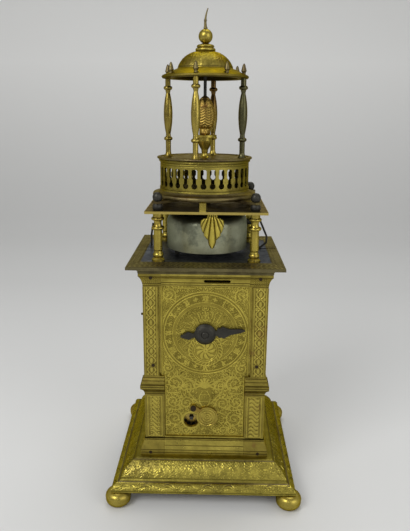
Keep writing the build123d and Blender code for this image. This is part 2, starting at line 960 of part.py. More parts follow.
strap_y = -(drum_radius + strap_gap)
with BuildPart() as front_strap:
    with BuildSketch(Plane.YZ.offset(strap_x - strap_width / 2)):
        with BuildLine():
            outline(
                (strap_y, ring_bottom),
                (strap_y - strap_thick, ring_bottom),
                (-canopy_half + strap_lip, canopy_top + strap_thick),
                (-canopy_half, canopy_top + strap_thick),
                (-canopy_half, canopy_top),
                (-canopy_half + strap_foot, canopy_top),
                (strap_y + 2 * strap_thick, ring_bottom),
            )
        make_face()
    extrude(amount=strap_width)
save(front_strap, "front_strap")

base_ring = turned(
    (drum_radius - drum_wall, ring_bottom),
    (ring_flange_radius - ring_round, ring_bottom),
    (
        (ring_flange_radius, ring_bottom + ring_flange_height / 2),
        (ring_flange_radius - ring_round, ring_bottom + ring_flange_height),
    ),
    (
        (drum_radius + ring_neck, ring_bottom + ring_flange_height * 1.2),
        (drum_radius, drum_bottom),
    ),
    (drum_radius - drum_wall, drum_bottom),
)
with BuildPart() as gallery_base_ring:
    add(base_ring)
save(gallery_base_ring, "gallery_base_ring", gallery_aside)

drum_outer = drum_radius - drum_band_out
drum_shell = turned(
    (drum_radius - drum_wall, drum_bottom),
    (drum_radius, drum_bottom),
    (drum_radius, drum_bottom + drum_band),
    (drum_outer, drum_bottom + drum_band),
    (drum_outer, gallery_floor - drum_moulding_height),
    (
        (drum_radius + drum_moulding_out, gallery_floor - drum_moulding_height / 2),
        (drum_outer, gallery_floor),
    ),
    (drum_radius - drum_wall, gallery_floor),
)
opening_planes = []
for number in range(drum_openings):
    turn = math.radians(number * 360 / drum_openings)
    opening_planes.append(
        Plane(
            origin=(0, 0, drum_bottom),
            x_dir=(-math.sin(turn), math.cos(turn), 0),
            z_dir=(math.cos(turn), math.sin(turn), 0),
        )
    )
with BuildPart() as gallery_drum:
    add(drum_shell)
    with BuildSketch(*opening_planes):
        with Locations((0, opening_bottom + opening_width / 2)):
            Circle(opening_width / 2)
        with Locations((0, opening_bottom + opening_width / 2 + (opening_waist - opening_bottom) / 2)):
            Rectangle(opening_width * 0.6, opening_waist - opening_bottom)
        with Locations((0, (opening_waist + opening_top) / 2)):
            RectangleRounded(opening_width, opening_top - opening_waist, opening_width * 0.3)
    extrude(amount=reach, mode=Mode.SUBTRACT)
save(gallery_drum, "gallery_drum", gallery_aside)

gallery_plate = turned(
    (0, gallery_floor),
    (gallery_plate_radius - plate_round, gallery_floor),
    (
        (gallery_plate_radius, gallery_floor + gallery_plate_thick / 2),
        (gallery_plate_radius - plate_round, gallery_top),
    ),
    (gallery_plate_radius - gallery_rim, gallery_top),
    (gallery_plate_radius - gallery_rim - plate_round, gallery_top - gallery_rim_rise),
    (0, gallery_top - gallery_rim_rise),
)
with BuildPart() as gallery_top_plate:
    add(gallery_plate)
save(gallery_top_plate, "gallery_top_plate", gallery_aside)

# Cupola on four baluster columns
column_bottom = gallery_top - gallery_rim_rise
column_full = roof_bottom - column_bottom
column = turned(
    (0, 0),
    (column_foot, 0),
    ((column_radius * 1.25, column_full * 0.03), (column_radius, column_full * 0.07)),
    (column_radius, column_full * 0.21),
    ((column_belly, column_full * 0.235), (column_radius, column_full * 0.26)),
    (column_radius * 0.9, column_full * 0.3),
    ((column_belly, column_full * 0.5), (column_radius * 0.78, column_full * 0.82)),
    (column_radius, column_full * 0.86),
    ((column_belly, column_full * 0.885), (column_radius, column_full * 0.91)),
    (column_radius, column_full),
    (0, column_full),
)
with BuildPart() as cupola_columns:
    for quarter in range(4):
        turn = math.radians(column_turn - 90 + 90 * quarter)
        place = (column_circle * math.cos(turn), column_circle * math.sin(turn), column_bottom)
        add(Pos(*place) * column)
save(cupola_columns, "cupola_columns", gallery_aside)

roof_inside = dome_radius - roof_wall
roof_solid = turned(
    (roof_radius - roof_ledge, roof_bottom),
    (roof_radius - plate_round, roof_bottom),
    ((roof_radius, roof_bottom + roof_rim / 2), (roof_radius - plate_round, roof_edge)),
    (dome_radius, dome_bottom),
    (
        (dome_radius * 0.76, dome_bottom + dome_height * 0.62),
        (collar_radius, dome_top),
    ),
    (0, dome_top),
    (0, dome_top - 2 * roof_wall),
    (collar_radius * 0.5, dome_top - 2 * roof_wall),
    (
        (roof_inside * 0.72, dome_bottom + dome_height * 0.52),
        (roof_inside, dome_bottom),
    ),
)
with BuildPart() as cupola_roof:
    add(roof_solid)
save(cupola_roof, "cupola_roof", gallery_aside)

finial = turned(
    (0, 0),
    (finial_radius, 0),
    ((finial_radius * 0.62, finial_height * 0.18), (finial_radius, finial_height * 0.36)),
    (finial_radius * 0.5, finial_height * 0.85),
    (finial_radius * 0.2, finial_height),
    (0, finial_height),
)
with BuildPart() as cupola_finials:
    for number in range(8):
        turn = math.radians(column_turn - 90 + 45 * number)
        place = (column_circle * math.cos(turn), column_circle * math.sin(turn), roof_edge)
        add(Pos(*place) * finial)
    add(roof_solid, mode=Mode.SUBTRACT)
save(cupola_finials, "cupola_finials", gallery_aside)

ball_centre = dome_top + collar_height + ball_radius
dome_finial_solid = turned(
    (0, dome_top),
    (collar_radius, dome_top),
    (
        (collar_radius * 1.045, dome_top + collar_height * 0.2),
        (collar_radius, dome_top + collar_height * 0.4),
    ),
    (collar_radius * 0.88, dome_top + collar_height * 0.52),
    (
        (collar_radius * 0.62, dome_top + collar_height * 0.74),
        (collar_radius * 0.5, dome_top + collar_height * 1.03),
    ),
    (
        (ball_radius, ball_centre),
        (spire_radius, ball_centre + ball_radius * 0.95),
    ),
    (0, ball_centre + ball_radius * 0.95),
)
spire_bottom = ball_centre + ball_radius * 0.95
spire_solid = turned(
    (0, spire_bottom),
    (spire_radius, spire_bottom),
    (spire_radius * 0.6, spire_bottom + spire_height * 0.4),
    (
        (spire_radius * 0.8, spire_bottom + spire_height * 0.45),
        (spire_radius * 0.5, spire_bottom + spire_height * 0.5),
    ),
    (spire_radius * 0.2, spire_bottom + spire_height),
    (0, spire_bottom + spire_height),
)
with BuildPart() as dome_finial:
    add(dome_finial_solid)
    add(spire_solid)
save(dome_finial, "dome_finial", gallery_aside)

# Carved figure on its pedestal, with the iron rod that holds it up to the roof
pedestal_bottom = column_bottom
pedestal_solid = turned(
    (0, pedestal_bottom),
    (pedestal_stem, pedestal_bottom),
    (
        (pedestal_neck, pedestal_bottom + pedestal_height * 0.1),
        (pedestal_neck, pedestal_bottom + pedestal_height * 0.25),
    ),
    (pedestal_neck * 1.08, pedestal_bottom + pedestal_height * 0.35),
    (
        (pedestal_cup_radius * 0.85, pedestal_bottom + pedestal_height * 0.56),
        (pedestal_cup_radius, pedestal_bottom + pedestal_height * 0.745),
    ),
    (pedestal_cup_radius, pedestal_bottom + pedestal_height - 1.25 * pedestal_disc_thick),
    (pedestal_disc_radius, pedestal_bottom + pedestal_height - pedestal_disc_thick),
    (pedestal_disc_radius, pedestal_bottom + pedestal_height),
    (0, pedestal_bottom + pedestal_height),
)
with BuildPart() as figure_pedestal:
    add(pedestal_solid)
save(figure_pedestal, "figure_pedestal", gallery_aside)

figure_bottom = pedestal_bottom + pedestal_height
figure_top = figure_bottom + figure_height
figure_solid = turned(
    (0, figure_bottom),
    (figure_foot, figure_bottom),
    (figure_foot, figure_bottom + figure_height * 0.2),
    (
        (figure_radius, figure_bottom + figure_height * 0.48),
        (figure_radius * 0.72, figure_bottom + figure_height * 0.74),
    ),
    (
        (figure_radius * 0.8, figure_bottom + figure_height * 0.86),
        (rod_radius * 1.5, figure_top),
    ),
    (0, figure_top),
)
with BuildPart() as carved_figure:
    add(figure_solid)
save(carved_figure, "carved_figure", gallery_aside)

rod_solid = turned(
    (0, figure_top),
    (rod_radius, figure_top),
    (rod_radius, dome_top - 2 * roof_wall),
    (0, dome_top - 2 * roof_wall),
)
with BuildPart() as centre_rod:
    add(rod_solid)
save(centre_rod, "centre_rod", gallery_aside)


# Barrels, each a drum with a great wheel for a lid, a winding arbor and a mainspring
def drum(place, y_open, y_closed):
    """A spring drum, open at one end and bored for its arbor at the other."""
    near, far = min(y_open, y_closed), max(y_open, y_closed)
    floor_near = near if y_closed < y_open else far - barrel_wall
    bore = winding_arbor_radius + pivot_clearance
    with BuildPart() as shell:
        add(rod(place, near, far, barrel_radius, barrel_radius - barrel_wall))
        add(rod(place, floor_near, floor_near + barrel_wall, barrel_radius, bore))
    return shell.part


def coil(place, y_front, y_back):
    """A mainspring, wound from the hub to the wall in half turns."""
    hub = winding_arbor_radius + 2 * spring_strip
    wall = barrel_radius - barrel_wall - running_gap - spring_strip
    step = (wall - hub) / (2 * spring_turns)
    outer, inner = [], []
    for half_turn in range(2 * spring_turns + 1):
        side = 1 if half_turn % 2 == 0 else -1
        outer.append(side * (hub + half_turn * step + spring_strip))
        inner.append(side * (hub + half_turn * step))
    with BuildPart() as spring:
        with BuildSketch(facing(place, y_back)):
            with BuildLine():
                for points in (outer, inner):
                    for number, (here, there) in enumerate(zip(points, points[1:])):
                        middle = (here + there) / 2
                        swell = abs(there - here) / 2 * (1 if number % 2 == 0 else -1)
                        ThreePointArc((here, 0), (middle, swell), (there, 0))
                Line((outer[0], 0), (inner[0], 0))
                Line((outer[-1], 0), (inner[-1], 0))
            make_face()
        extrude(amount=y_back - y_front)
    return spring.part


pinion_layer = -front_plate_y + frame_plate_thick + running_gap
pipe_end = -(pinion_layer + wheel_thick)
great_front = front_plate_y + 2 * running_gap
barrel_front = great_front + wheel_thick
second_angle = direction(winding_axis, second_axis)
motion_angle = direction(winding_axis, motion_axis)
with BuildPart() as going_great_wheel:
    add(
        toothed(
            winding_axis, great_front, wheel_thick, great_teeth, great_module, second_angle,
            pipe_radius,
        )
    )
    add(rod(winding_axis, pipe_end, barrel_front, pipe_radius, pipe_bore))
    add(
        toothed(
            winding_axis, pipe_end, wheel_thick, motion_pinion_teeth, motion_module, motion_angle,
            pipe_radius,
        )
    )
save(going_great_wheel, "going_great_wheel")

with BuildPart() as going_barrel:
    add(drum(winding_axis, barrel_front, barrel_front + going_barrel_length))
save(going_barrel, "going_barrel")

with BuildPart() as going_mainspring:
    add(
        coil(
            winding_axis,
            barrel_front + running_gap,
            barrel_front + going_barrel_length - barrel_wall - running_gap,
        )
    )
save(going_mainspring, "going_mainspring")


def winding_arbor(name, place, y_front, y_back, square_front):
    """An arbor that turns inside a barrel, with a square for the key."""
    with BuildPart() as staff:
        add(rod(place, y_front, y_back, winding_arbor_radius))
        with BuildSketch(facing(place, y_front if square_front else y_back + winding_square)):
            Rectangle(winding_square, winding_square)
        extrude(amount=winding_square)
    save(staff, name)


winding_arbor("going_winding_arbor", winding_axis, pipe_end, middle_plate_y, True)

strike_great_back = back_inside - 2 * running_gap
strike_pinion_front = strike_great_back - pinion_length + running_gap
strike_barrel_back = strike_great_back - wheel_thick
strike_pipe_end = back_plate_y + running_gap + wheel_thick
pin_angle = direction(strike_axis, pin_axis)
count_angle = direction(strike_axis, count_axis)
with BuildPart() as strike_great_wheel:
    add(
        toothed(
            strike_axis, strike_barrel_back, wheel_thick, great_teeth, great_module, pin_angle,
            pipe_radius,
        )
    )
    add(rod(strike_axis, strike_barrel_back, strike_pipe_end, pipe_radius, pipe_bore))
    add(
        toothed(
            strike_axis, strike_pipe_end - wheel_thick, wheel_thick, strike_count_teeth, count_module,
            count_angle, pipe_radius,
        )
    )
save(strike_great_wheel, "strike_great_wheel")

with BuildPart() as strike_barrel:
    add(drum(strike_axis, strike_barrel_back, strike_barrel_back - strike_barrel_length))
save(strike_barrel, "strike_barrel")

with BuildPart() as strike_mainspring:
    add(
        coil(
            strike_axis,
            strike_barrel_back - strike_barrel_length + barrel_wall + running_gap,
            strike_barrel_back - running_gap,
        )
    )
save(strike_mainspring, "strike_mainspring")
winding_arbor("strike_winding_arbor", strike_axis, middle_front, strike_pipe_end, False)

# Going train above its barrel
half_leaf = 180 / pinion_leaves
second_wheel_y = middle_front - second_wheel_setback
with BuildPart() as second_wheel:
    pinion_front = great_front - running_gap
    add(
        toothed(
            second_axis, pinion_front, pinion_length, pinion_leaves, great_module,
            second_angle + 180 + half_leaf,
        )
    )
    add(
        toothed(
            second_axis, second_wheel_y, wheel_thick, second_teeth, second_module,
            direction(second_axis, crown_axis), spokes=True,
        )
    )
    add(arbor(second_axis, front_plate_y, middle_front))
save(second_wheel, "second_wheel")

crown_face_y = verge_y + verge_gap
crown_back_y = crown_face_y + crown_tooth_height + wheel_thick
crown_phase = 90 + 360 / crown_teeth / 4
with BuildPart() as crown_wheel:
    crown_angle = direction(crown_axis, second_axis)
    add(
        toothed(
            crown_axis, second_wheel_y - running_gap, pinion_length, pinion_leaves, second_module,
            crown_angle + half_leaf,
        )
    )
    with BuildSketch(facing(crown_axis, crown_back_y)):
        Circle(crown_radius + crown_rim / 2)
        Circle(crown_radius - crown_rim / 2, mode=Mode.SUBTRACT)
        Rectangle(2 * crown_radius, spoke_width)
        Rectangle(spoke_width, 2 * crown_radius)
        Circle(crown_hub_radius)
    extrude(amount=wheel_thick)
    tooth_planes = []
    for number in range(crown_teeth):
        turn = math.radians(crown_phase + (number + 0.5) * 360 / crown_teeth)
        outward = (math.cos(turn), 0, math.sin(turn))
        inner = crown_radius - crown_rim / 2
        tooth_planes.append(
            Plane(
                origin=(
                    crown_axis[0] + inner * outward[0],
                    crown_back_y - wheel_thick,
                    crown_axis[1] + inner * outward[2],
                ),
                x_dir=(-outward[2], 0, outward[0]),
                z_dir=outward,
            )
        )
    with BuildSketch(*tooth_planes):
        with BuildLine():
            Polyline(
                (-crown_tooth_half, 0), (-crown_tip_half, crown_tooth_height),
                (crown_tip_half, crown_tooth_height), (crown_tooth_half, 0),
                close=True,
            )
        make_face()
        if tooth_planes[0].y_dir.Y > 0:
            mirror(about=Plane.XZ, mode=Mode.REPLACE)
    extrude(amount=crown_rim)
    add(rod(crown_axis, crown_back_y, middle_front - end_shake, arbor_radius))
    add(rod(crown_axis, middle_front - end_shake, middle_plate_y, pivot_radius))
    add(rod(crown_axis, crown_back_y - wheel_thick - 2 * pivot_radius, crown_back_y, pivot_radius))
save(crown_wheel, "crown_wheel")

# Verge, balance and the cocks that hold them
verge_foot = crown_axis[1] - crown_radius - verge_below
verge_top = cock_top - cock_thick / 2
balance_bottom = cornice_top + balance_rise
with BuildPart() as verge:
    with BuildSketch(Plane.XY.offset(verge_foot)):
        with Locations((0, verge_y)):
            Circle(verge_radius)
    extrude(amount=verge_top - verge_foot)
    for side, height in ((1, crown_axis[1] + crown_radius), (-1, crown_axis[1] - crown_radius)):
        turn = 90 + side * pallet_angle
        with BuildSketch(Plane(origin=(0, verge_y, height - pallet_height / 2))):
            with Locations(Location((0, 0, 0), (0, 0, turn))):
                with Locations((pallet_reach / 2, 0)):
                    Rectangle(pallet_reach, pallet_thick)
        extrude(amount=pallet_height)
save(verge, "verge")

with BuildPart() as balance:
    with BuildSketch(Plane(origin=(0, verge_y, balance_bottom))):
        Circle(balance_radius)
        Circle(balance_radius - balance_rim, mode=Mode.SUBTRACT)
        Rectangle(2 * balance_radius - balance_rim, balance_spoke)
        Rectangle(balance_spoke, 2 * balance_radius - balance_rim)
        Circle(balance_hub_radius)
        Circle(verge_radius, mode=Mode.SUBTRACT)
    extrude(amount=balance_thick)
save(balance, "balance")

with BuildPart() as balance_cock:
    with BuildSketch(Plane(origin=(0, verge_y, cornice_top))):
        with Locations((cock_x, 0)):
            Rectangle(cock_foot, cock_width)
    extrude(amount=cock_top - cornice_top)
    with BuildSketch(Plane(origin=(0, verge_y, cock_top - cock_thick))):
        with Locations(((cock_x - cock_foot / 2 + cock_nose) / 2, 0)):
            Rectangle(cock_nose - cock_x + cock_foot / 2, cock_width)
        Circle(verge_radius + pivot_clearance, mode=Mode.SUBTRACT)
    extrude(amount=cock_thick)
save(balance_cock, "balance_cock")

with BuildPart() as potence:
    nose_z = crown_axis[1]
    nose_back = crown_back_y - wheel_thick - end_shake
    nose_front = verge_y + 2 * verge_radius
    foot_z = verge_foot + potence_width / 2
    with BuildSketch(facing((potence_aside / 2, nose_z), nose_back)):
        Rectangle(potence_aside + potence_width, potence_height)
    extrude(amount=nose_back - nose_front)
    with BuildSketch(facing((potence_aside, nose_z), nose_back)):
        Rectangle(potence_width, potence_height)
    extrude(amount=nose_back - verge_y + potence_width + 2 * verge_radius)
    with BuildSketch(facing((potence_aside, (nose_z + verge_foot) / 2), verge_y - 2 * verge_radius)):
        Rectangle(potence_width, nose_z - verge_foot + potence_height)
    extrude(amount=potence_width)
    with BuildSketch(facing((potence_aside / 2, foot_z), verge_y + potence_aside / 2)):
        Rectangle(potence_aside + potence_width, potence_width)
    extrude(amount=potence_aside)
    with BuildSketch(facing((potence_aside, foot_z), verge_y)):
        Rectangle(potence_width, potence_width)
    extrude(amount=verge_y - front_plate_y)
    add(rod(crown_axis, nose_front, nose_back, pivot_radius + pivot_clearance), mode=Mode.SUBTRACT)
    with BuildSketch(Plane(origin=(0, verge_y, verge_foot))):
        Circle(verge_radius + pivot_clearance)
    extrude(amount=2 * pallet_height, mode=Mode.SUBTRACT)
save(potence, "potence")

# Motion work behind the dial
hour_layer = -(panel_back - running_gap - 2 * end_shake)
motion_to_hour = direction(motion_axis, hour_axis)
with BuildPart() as motion_wheel:
    add(
        toothed(
            motion_axis, pipe_end, wheel_thick, motion_teeth, motion_module,
            motion_angle + 180 + 180 / motion_teeth, spokes=True,
        )
    )
    add(toothed(motion_axis, hour_layer, wheel_thick, hour_pinion_teeth, hour_module, motion_to_hour))
    add(rod(motion_axis, hour_layer, front_plate_y, motion_stud_radius))
save(motion_wheel, "motion_wheel")

hand_back_y = -panel_face - hand_stand_off
hand_front_y = hand_back_y - hand_thick
with BuildPart() as hour_wheel:
    add(
        toothed(
            hour_axis, hour_layer, wheel_thick, hour_teeth, hour_module,
            motion_to_hour + 180 + 180 / hour_teeth, spokes=True,
        )
    )
    add(rod(hour_axis, hand_front_y, front_plate_y, hour_arbor_radius))
save(hour_wheel, "hour_wheel")

# Striking train and its count wheel
pin_wheel_y = middle_plate_y + pin_wheel_setback
pin_to_fly = direction(pin_axis, fly_axis)
with BuildPart() as pin_wheel:
    add(
        toothed(
            pin_axis, strike_pinion_front, pinion_length, pinion_leaves, great_module,
            pin_angle + 180 + half_leaf,
        )
    )
    add(toothed(pin_axis, pin_wheel_y, wheel_thick, second_teeth, second_module, pin_to_fly, spokes=True))
    for number in range(hammer_pins):
        turn = math.radians(number * 360 / hammer_pins + 12)
        pin_place = (pin_axis[0] + pin_circle * math.cos(turn), pin_axis[1] + pin_circle * math.sin(turn))
        add(rod(pin_place, pin_wheel_y - pin_length, pin_wheel_y + wheel_thick, hammer_rod_radius))
    with BuildSketch(facing(pin_axis, pin_wheel_y + wheel_thick)):
        Circle(pin_circle + 2 * hammer_rod_radius)
        Circle(pin_circle - 2 * hammer_rod_radius, mode=Mode.SUBTRACT)
    extrude(amount=wheel_thick)
    add(arbor(pin_axis, middle_plate_y, back_inside))
save(pin_wheel, "pin_wheel")

with BuildPart() as fly:
    add(
        toothed(
            fly_axis, pin_wheel_y - running_gap, pinion_length, pinion_leaves, second_module,
            pin_to_fly + 180 + half_leaf,
        )
    )
    add(arbor(fly_axis, middle_plate_y, back_inside))
    with BuildSketch(facing(fly_axis, back_inside - fly_setback)):
        Rectangle(2 * fly_reach, fly_thick)
    extrude(amount=fly_length)
save(fly, "fly")

# The notches in the count wheel come after one blow, then two, and so on up to twelve
count_radius = count_module * count_teeth / 2
notch_circle = count_radius - count_rim
with BuildPart() as count_wheel:
    add(
        toothed(
            count_axis, strike_pipe_end - wheel_thick, wheel_thick, count_teeth, count_module,
            count_angle + 180 + 180 / count_teeth,
        )
    )
    with BuildSketch(facing(count_axis, strike_pipe_end + count_disc_thick)):
        Circle(notch_circle)
        blows = 0
        for hour in range(1, 13):
            blows += hour
            turn = math.radians(blows * 360 / 78)
            with Locations((notch_circle * math.cos(turn), notch_circle * math.sin(turn))):
                Circle(count_notch, mode=Mode.SUBTRACT)
    extrude(amount=count_disc_thick)
    add(rod(count_axis, back_inside, strike_pipe_end, motion_stud_radius))
save(count_wheel, "count_wheel")


def wire(plane, points, radius):
    """A round wire through straight runs with rounded corners."""
    with BuildPart() as path_wire:
        with BuildLine(plane) as path:
            FilletPolyline(*points, radius=wire_bend)
        start = path.line @ 0
        with BuildSketch(Plane(origin=start, z_dir=path.line % 0)):
            Circle(radius)
        sweep()
    return path_wire.part


# Hammer, from its tail by the pins up through the slot to the bell
bell_edge_x = math.sqrt(bell_radius**2 - hammer_plane**2)
head_back = bell_edge_x + hammer_head_gap + hammer_head_length
knee_rise = hammer_head_length
hammer_tail = (pin_axis[0] + pin_circle + wire_bend, hammer_axis[1] - hammer_tail_drop)
with BuildPart() as hammer:
    add(
        wire(
            Plane.XZ.offset(-hammer_plane),
            (
                hammer_tail,
                hammer_axis,
                (hammer_waist_x, iron_under - knee_rise),
                (hammer_knee_x, cornice_top + knee_rise),
                (hammer_knee_x, cornice_top + 2 * knee_rise),
                (hammer_wrist_x, hammer_head_z + wire_bend),
                (head_back - hammer_rod_radius, hammer_head_z),
            ),
            hammer_rod_radius,
        )
    )
    with BuildSketch(Plane.YZ.offset(bell_edge_x + hammer_head_gap)):
        with Locations((hammer_plane, hammer_head_z)):
            Circle(hammer_head_radius)
    extrude(amount=head_back - bell_edge_x - hammer_head_gap)
    add(rod(hammer_axis, middle_plate_y + end_shake, back_inside - end_shake, arbor_radius))
    add(rod(hammer_axis, middle_front, back_plate_y, pivot_radius))
save(hammer, "hammer")

# The bent wire that stands on the left of the bell
with BuildPart() as bell_wire:
    add(
        wire(
            Plane.XZ.offset(-left_wire_place[1]),
            (
                (left_wire_place[0], cornice_top),
                (left_wire_place[0], cornice_top + left_wire_rise * 0.45),
                (left_wire_place[0] + left_wire_lean, cornice_top + left_wire_rise),
            ),
            hammer_rod_radius,
        )
    )
save(bell_wire, "bell_wire")

# Hour hand with a boss, a leaf-shaped pointer and a shorter leaf-shaped tail
hand_tilt = math.radians(hand_angle)
hand_plane = Plane(
    origin=(hour_axis[0], hand_back_y, hour_axis[1]),
    x_dir=(math.cos(hand_tilt), 0, math.sin(hand_tilt)),
    z_dir=(0, -1, 0),
)
with BuildPart() as hour_hand:
    with BuildSketch(hand_plane):
        Circle(hand_boss_radius)
        with BuildLine():
            Polyline(
                (0, hand_root),
                (hand_tip * 0.3, hand_leaf * 0.42),
                (hand_tip * 0.34, hand_leaf * 0.84),
                (hand_tip * 0.4, hand_leaf * 0.78),
                (hand_tip * 0.46, hand_leaf),
                (hand_tip * 0.62, hand_leaf * 0.5),
                (hand_tip * 0.9, hand_leaf * 0.32),
                (hand_tip, hand_leaf * 0.1),
                (hand_tip, -hand_leaf * 0.1),
                (hand_tip * 0.9, -hand_leaf * 0.32),
                (hand_tip * 0.62, -hand_leaf * 0.5),
                (hand_tip * 0.46, -hand_leaf),
                (hand_tip * 0.4, -hand_leaf * 0.78),
                (hand_tip * 0.34, -hand_leaf * 0.84),
                (hand_tip * 0.3, -hand_leaf * 0.42),
                (0, -hand_root),
                (-hand_tail * 0.5, -hand_tail_leaf * 0.54),
                (-hand_tail * 0.68, -hand_tail_leaf),
                (-hand_tail, -hand_tail_leaf * 0.2),
                (-hand_tail, hand_tail_leaf * 0.2),
                (-hand_tail * 0.68, hand_tail_leaf),
                (-hand_tail * 0.5, hand_tail_leaf * 0.54),
                close=True,
            )
        make_face()
        Circle(hour_arbor_radius + pivot_clearance, mode=Mode.SUBTRACT)
    extrude(amount=hand_thick)
    with BuildSketch(facing(hour_axis, hand_front_y)):
        Circle(hand_boss_radius * 0.75)
    extrude(amount=hand_boss_height / 2, taper=20)
save(hour_hand, "hour_hand")

# Shutter for the winding hole, which turns on its screw
arm_angle = direction(shutter_pivot, shutter_centre)
arm_length = math.dist(shutter_pivot, shutter_centre)
with BuildPart() as shutter_disc:
    shutter_back = -panel_face - shutter_lift
    with BuildSketch(facing(shutter_pivot, shutter_back)):
        with Locations(Location((0, 0, 0), (0, 0, arm_angle))):
            with Locations((arm_length / 2, 0)):
                Rectangle(arm_length, shutter_arm_width)
            Circle(shutter_arm_width * 0.62)
            with Locations((arm_length, 0)):
                Circle(shutter_radius)
        Circle(shutter_screw_radius + pivot_clearance, mode=Mode.SUBTRACT)
    extrude(amount=shutter_thick)
save(shutter_disc, "shutter_disc")
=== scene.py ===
"""Dresses a tower-shaped table clock with engraved gilt brass, an iron hand, a bell and a cupola.

Sizes in the classes are millimetres in the frame of the solids: Z is up, the dial faces -Y
and the origin is the middle of the floor under the feet. Meshes go into Blender in metres.
Every surface is worked out as whole arrays: a grid of two parameters, or a profile that is
carried round a path, with its engraving added along the normal.
"""

import logging
import math
from dataclasses import dataclass, field
from enum import Enum

import bpy
import numpy as np
from mathutils import Matrix


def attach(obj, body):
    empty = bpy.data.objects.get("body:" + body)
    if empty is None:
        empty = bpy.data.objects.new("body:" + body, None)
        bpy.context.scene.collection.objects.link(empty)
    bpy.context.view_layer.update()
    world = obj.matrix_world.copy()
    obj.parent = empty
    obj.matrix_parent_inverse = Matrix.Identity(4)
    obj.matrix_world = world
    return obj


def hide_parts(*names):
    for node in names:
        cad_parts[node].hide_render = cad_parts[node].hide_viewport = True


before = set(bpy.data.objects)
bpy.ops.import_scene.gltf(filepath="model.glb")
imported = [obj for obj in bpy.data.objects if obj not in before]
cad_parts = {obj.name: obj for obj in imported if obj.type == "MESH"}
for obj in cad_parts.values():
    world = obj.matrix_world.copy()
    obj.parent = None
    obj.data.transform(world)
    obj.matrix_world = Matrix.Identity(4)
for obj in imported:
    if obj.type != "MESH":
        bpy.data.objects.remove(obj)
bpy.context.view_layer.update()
METRES = 0.001
RELIEF = "relief"
GALLERY_ASIDE = -2.3
BRIGHT_EDGE_COLOUR = (0.50, 0.39, 0.10)
PAINTED_SHADE_INSIDE = (0.02, 0.014, 0.006)
FAR_COLUMN_GREEN = (0.055, 0.06, 0.04)
BACK_COLUMN_RED = (0.07, 0.03, 0.014)
log = logging.getLogger("clock")

Array = np.ndarray
Piece = bpy.types.Object
Socket = bpy.types.NodeSocket
Tree = bpy.types.NodeTree
Colour = tuple[float, float, float]
Point = tuple[float, float]


class Side(Enum):
    """The four upright faces of the tower, each by the way it looks."""

    FRONT = (0.0, -1.0)
    RIGHT = (1.0, 0.0)
    BACK = (0.0, 1.0)
    LEFT = (-1.0, 0.0)


class Pattern(Enum):
    """What is engraved in the lower part of a corner post."""

    SCROLL = 1
    ROPE = 2


# Meshes


def grid_quads(rows: int, columns: int, closed: bool = False) -> Array:
    """Quads between neighbouring rows and columns of a grid of points.

    Args:
        rows: number of rows of points.
        columns: number of points in a row.
        closed: whether the last column meets the first again.

    Returns:
        One row of four point numbers for each quad.
    """
    row = np.arange(rows - 1)[:, None]
    column = np.arange(columns if closed else columns - 1)[None, :]
    after = (column + 1) % columns
    corners = (
        row * columns + column,
        row * columns + after,
        (row + 1) * columns + after,
        (row + 1) * columns + column,
    )
    return np.stack(
        [np.broadcast_to(c, (rows - 1, column.size)) for c in corners], -1
    ).reshape(-1, 4)


def face_normals(points: Array, quads: Array) -> Array:
    """Cross product of the diagonals of each quad, which points along its normal."""
    return np.cross(
        points[quads[:, 2]] - points[quads[:, 0]], points[quads[:, 3]] - points[quads[:, 1]]
    )


def with_skirt(points: Array, quads: Array, sunk: Array) -> tuple[Array, Array, Array]:
    """Adds a wall along every open edge of a skin, down to a sunk copy of its points.

    An edge is open where it belongs to one quad alone, so its reverse is missing.

    Args:
        points: the skin's points.
        quads: the quads that are kept.
        sunk: where each point's lower copy lies.

    Returns:
        The points that are used, their quads, and the number of the old point for each.
    """
    count = len(points)
    starts, ends = quads.ravel(), np.roll(quads, -1, axis=1).ravel()
    open_edge = ~np.isin(starts * count + ends, ends * count + starts)
    low, high = starts[open_edge], ends[open_edge]
    wall = np.stack([high, low, low + count, high + count], -1)
    every = np.concatenate([quads, wall])
    used, numbers = np.unique(every, return_inverse=True)
    return np.concatenate([points, sunk])[used], numbers.reshape(-1, 4), used % count


def mesh_piece(
    name: str,
    points: Array,
    quads: Array,
    triangles: Array | None = None,
    relief: Array | None = None,
    sharp: float = 42.0,
) -> Piece:
    """Puts worked-out arrays into a mesh object at the origin.

    Args:
        name: the piece's name.
        points: points in millimetres.
        quads: four point numbers for each face.
        triangles: three point numbers for each face of the poles and caps.
        relief: from 0 in the ground to 1 on the highest strokes, one for each point.
        sharp: edges that turn by more degrees than this stay crisp.

    Returns:
        The new object, linked into the scene.
    """
    faces = quads.tolist() + ([] if triangles is None else triangles.tolist())
    mesh = bpy.data.meshes.new(name)
    mesh.from_pydata((points * METRES).tolist(), [], faces)
    mesh.polygons.foreach_set("use_smooth", np.ones(len(mesh.polygons), bool))
    mesh.set_sharp_from_angle(angle=math.radians(sharp))
    values = np.zeros(len(points)) if relief is None else relief
    attribute = mesh.attributes.new(RELIEF, "FLOAT", "POINT")
    attribute.data.foreach_set("value", np.ascontiguousarray(values, dtype=np.float32))
    mesh.update()
    made = bpy.data.objects.new(name, mesh)
    bpy.context.scene.collection.objects.link(made)
    log.info("made %s with %d faces", name, len(faces))
    return made


def facing_out(points: Array, quads: Array, outward: Array) -> Array:
    """Turns all quads over if most of them look against the given direction.

    Args:
        points: the points.
        quads: the faces.
        outward: one direction for all of them, or one for each point.

    Returns:
        The quads, in the same order or each reversed.
    """
    towards = outward if outward.ndim == 1 else outward[quads[:, 0]]
    return quads[:, ::-1] if (face_normals(points, quads) * towards).sum() < 0 else quads


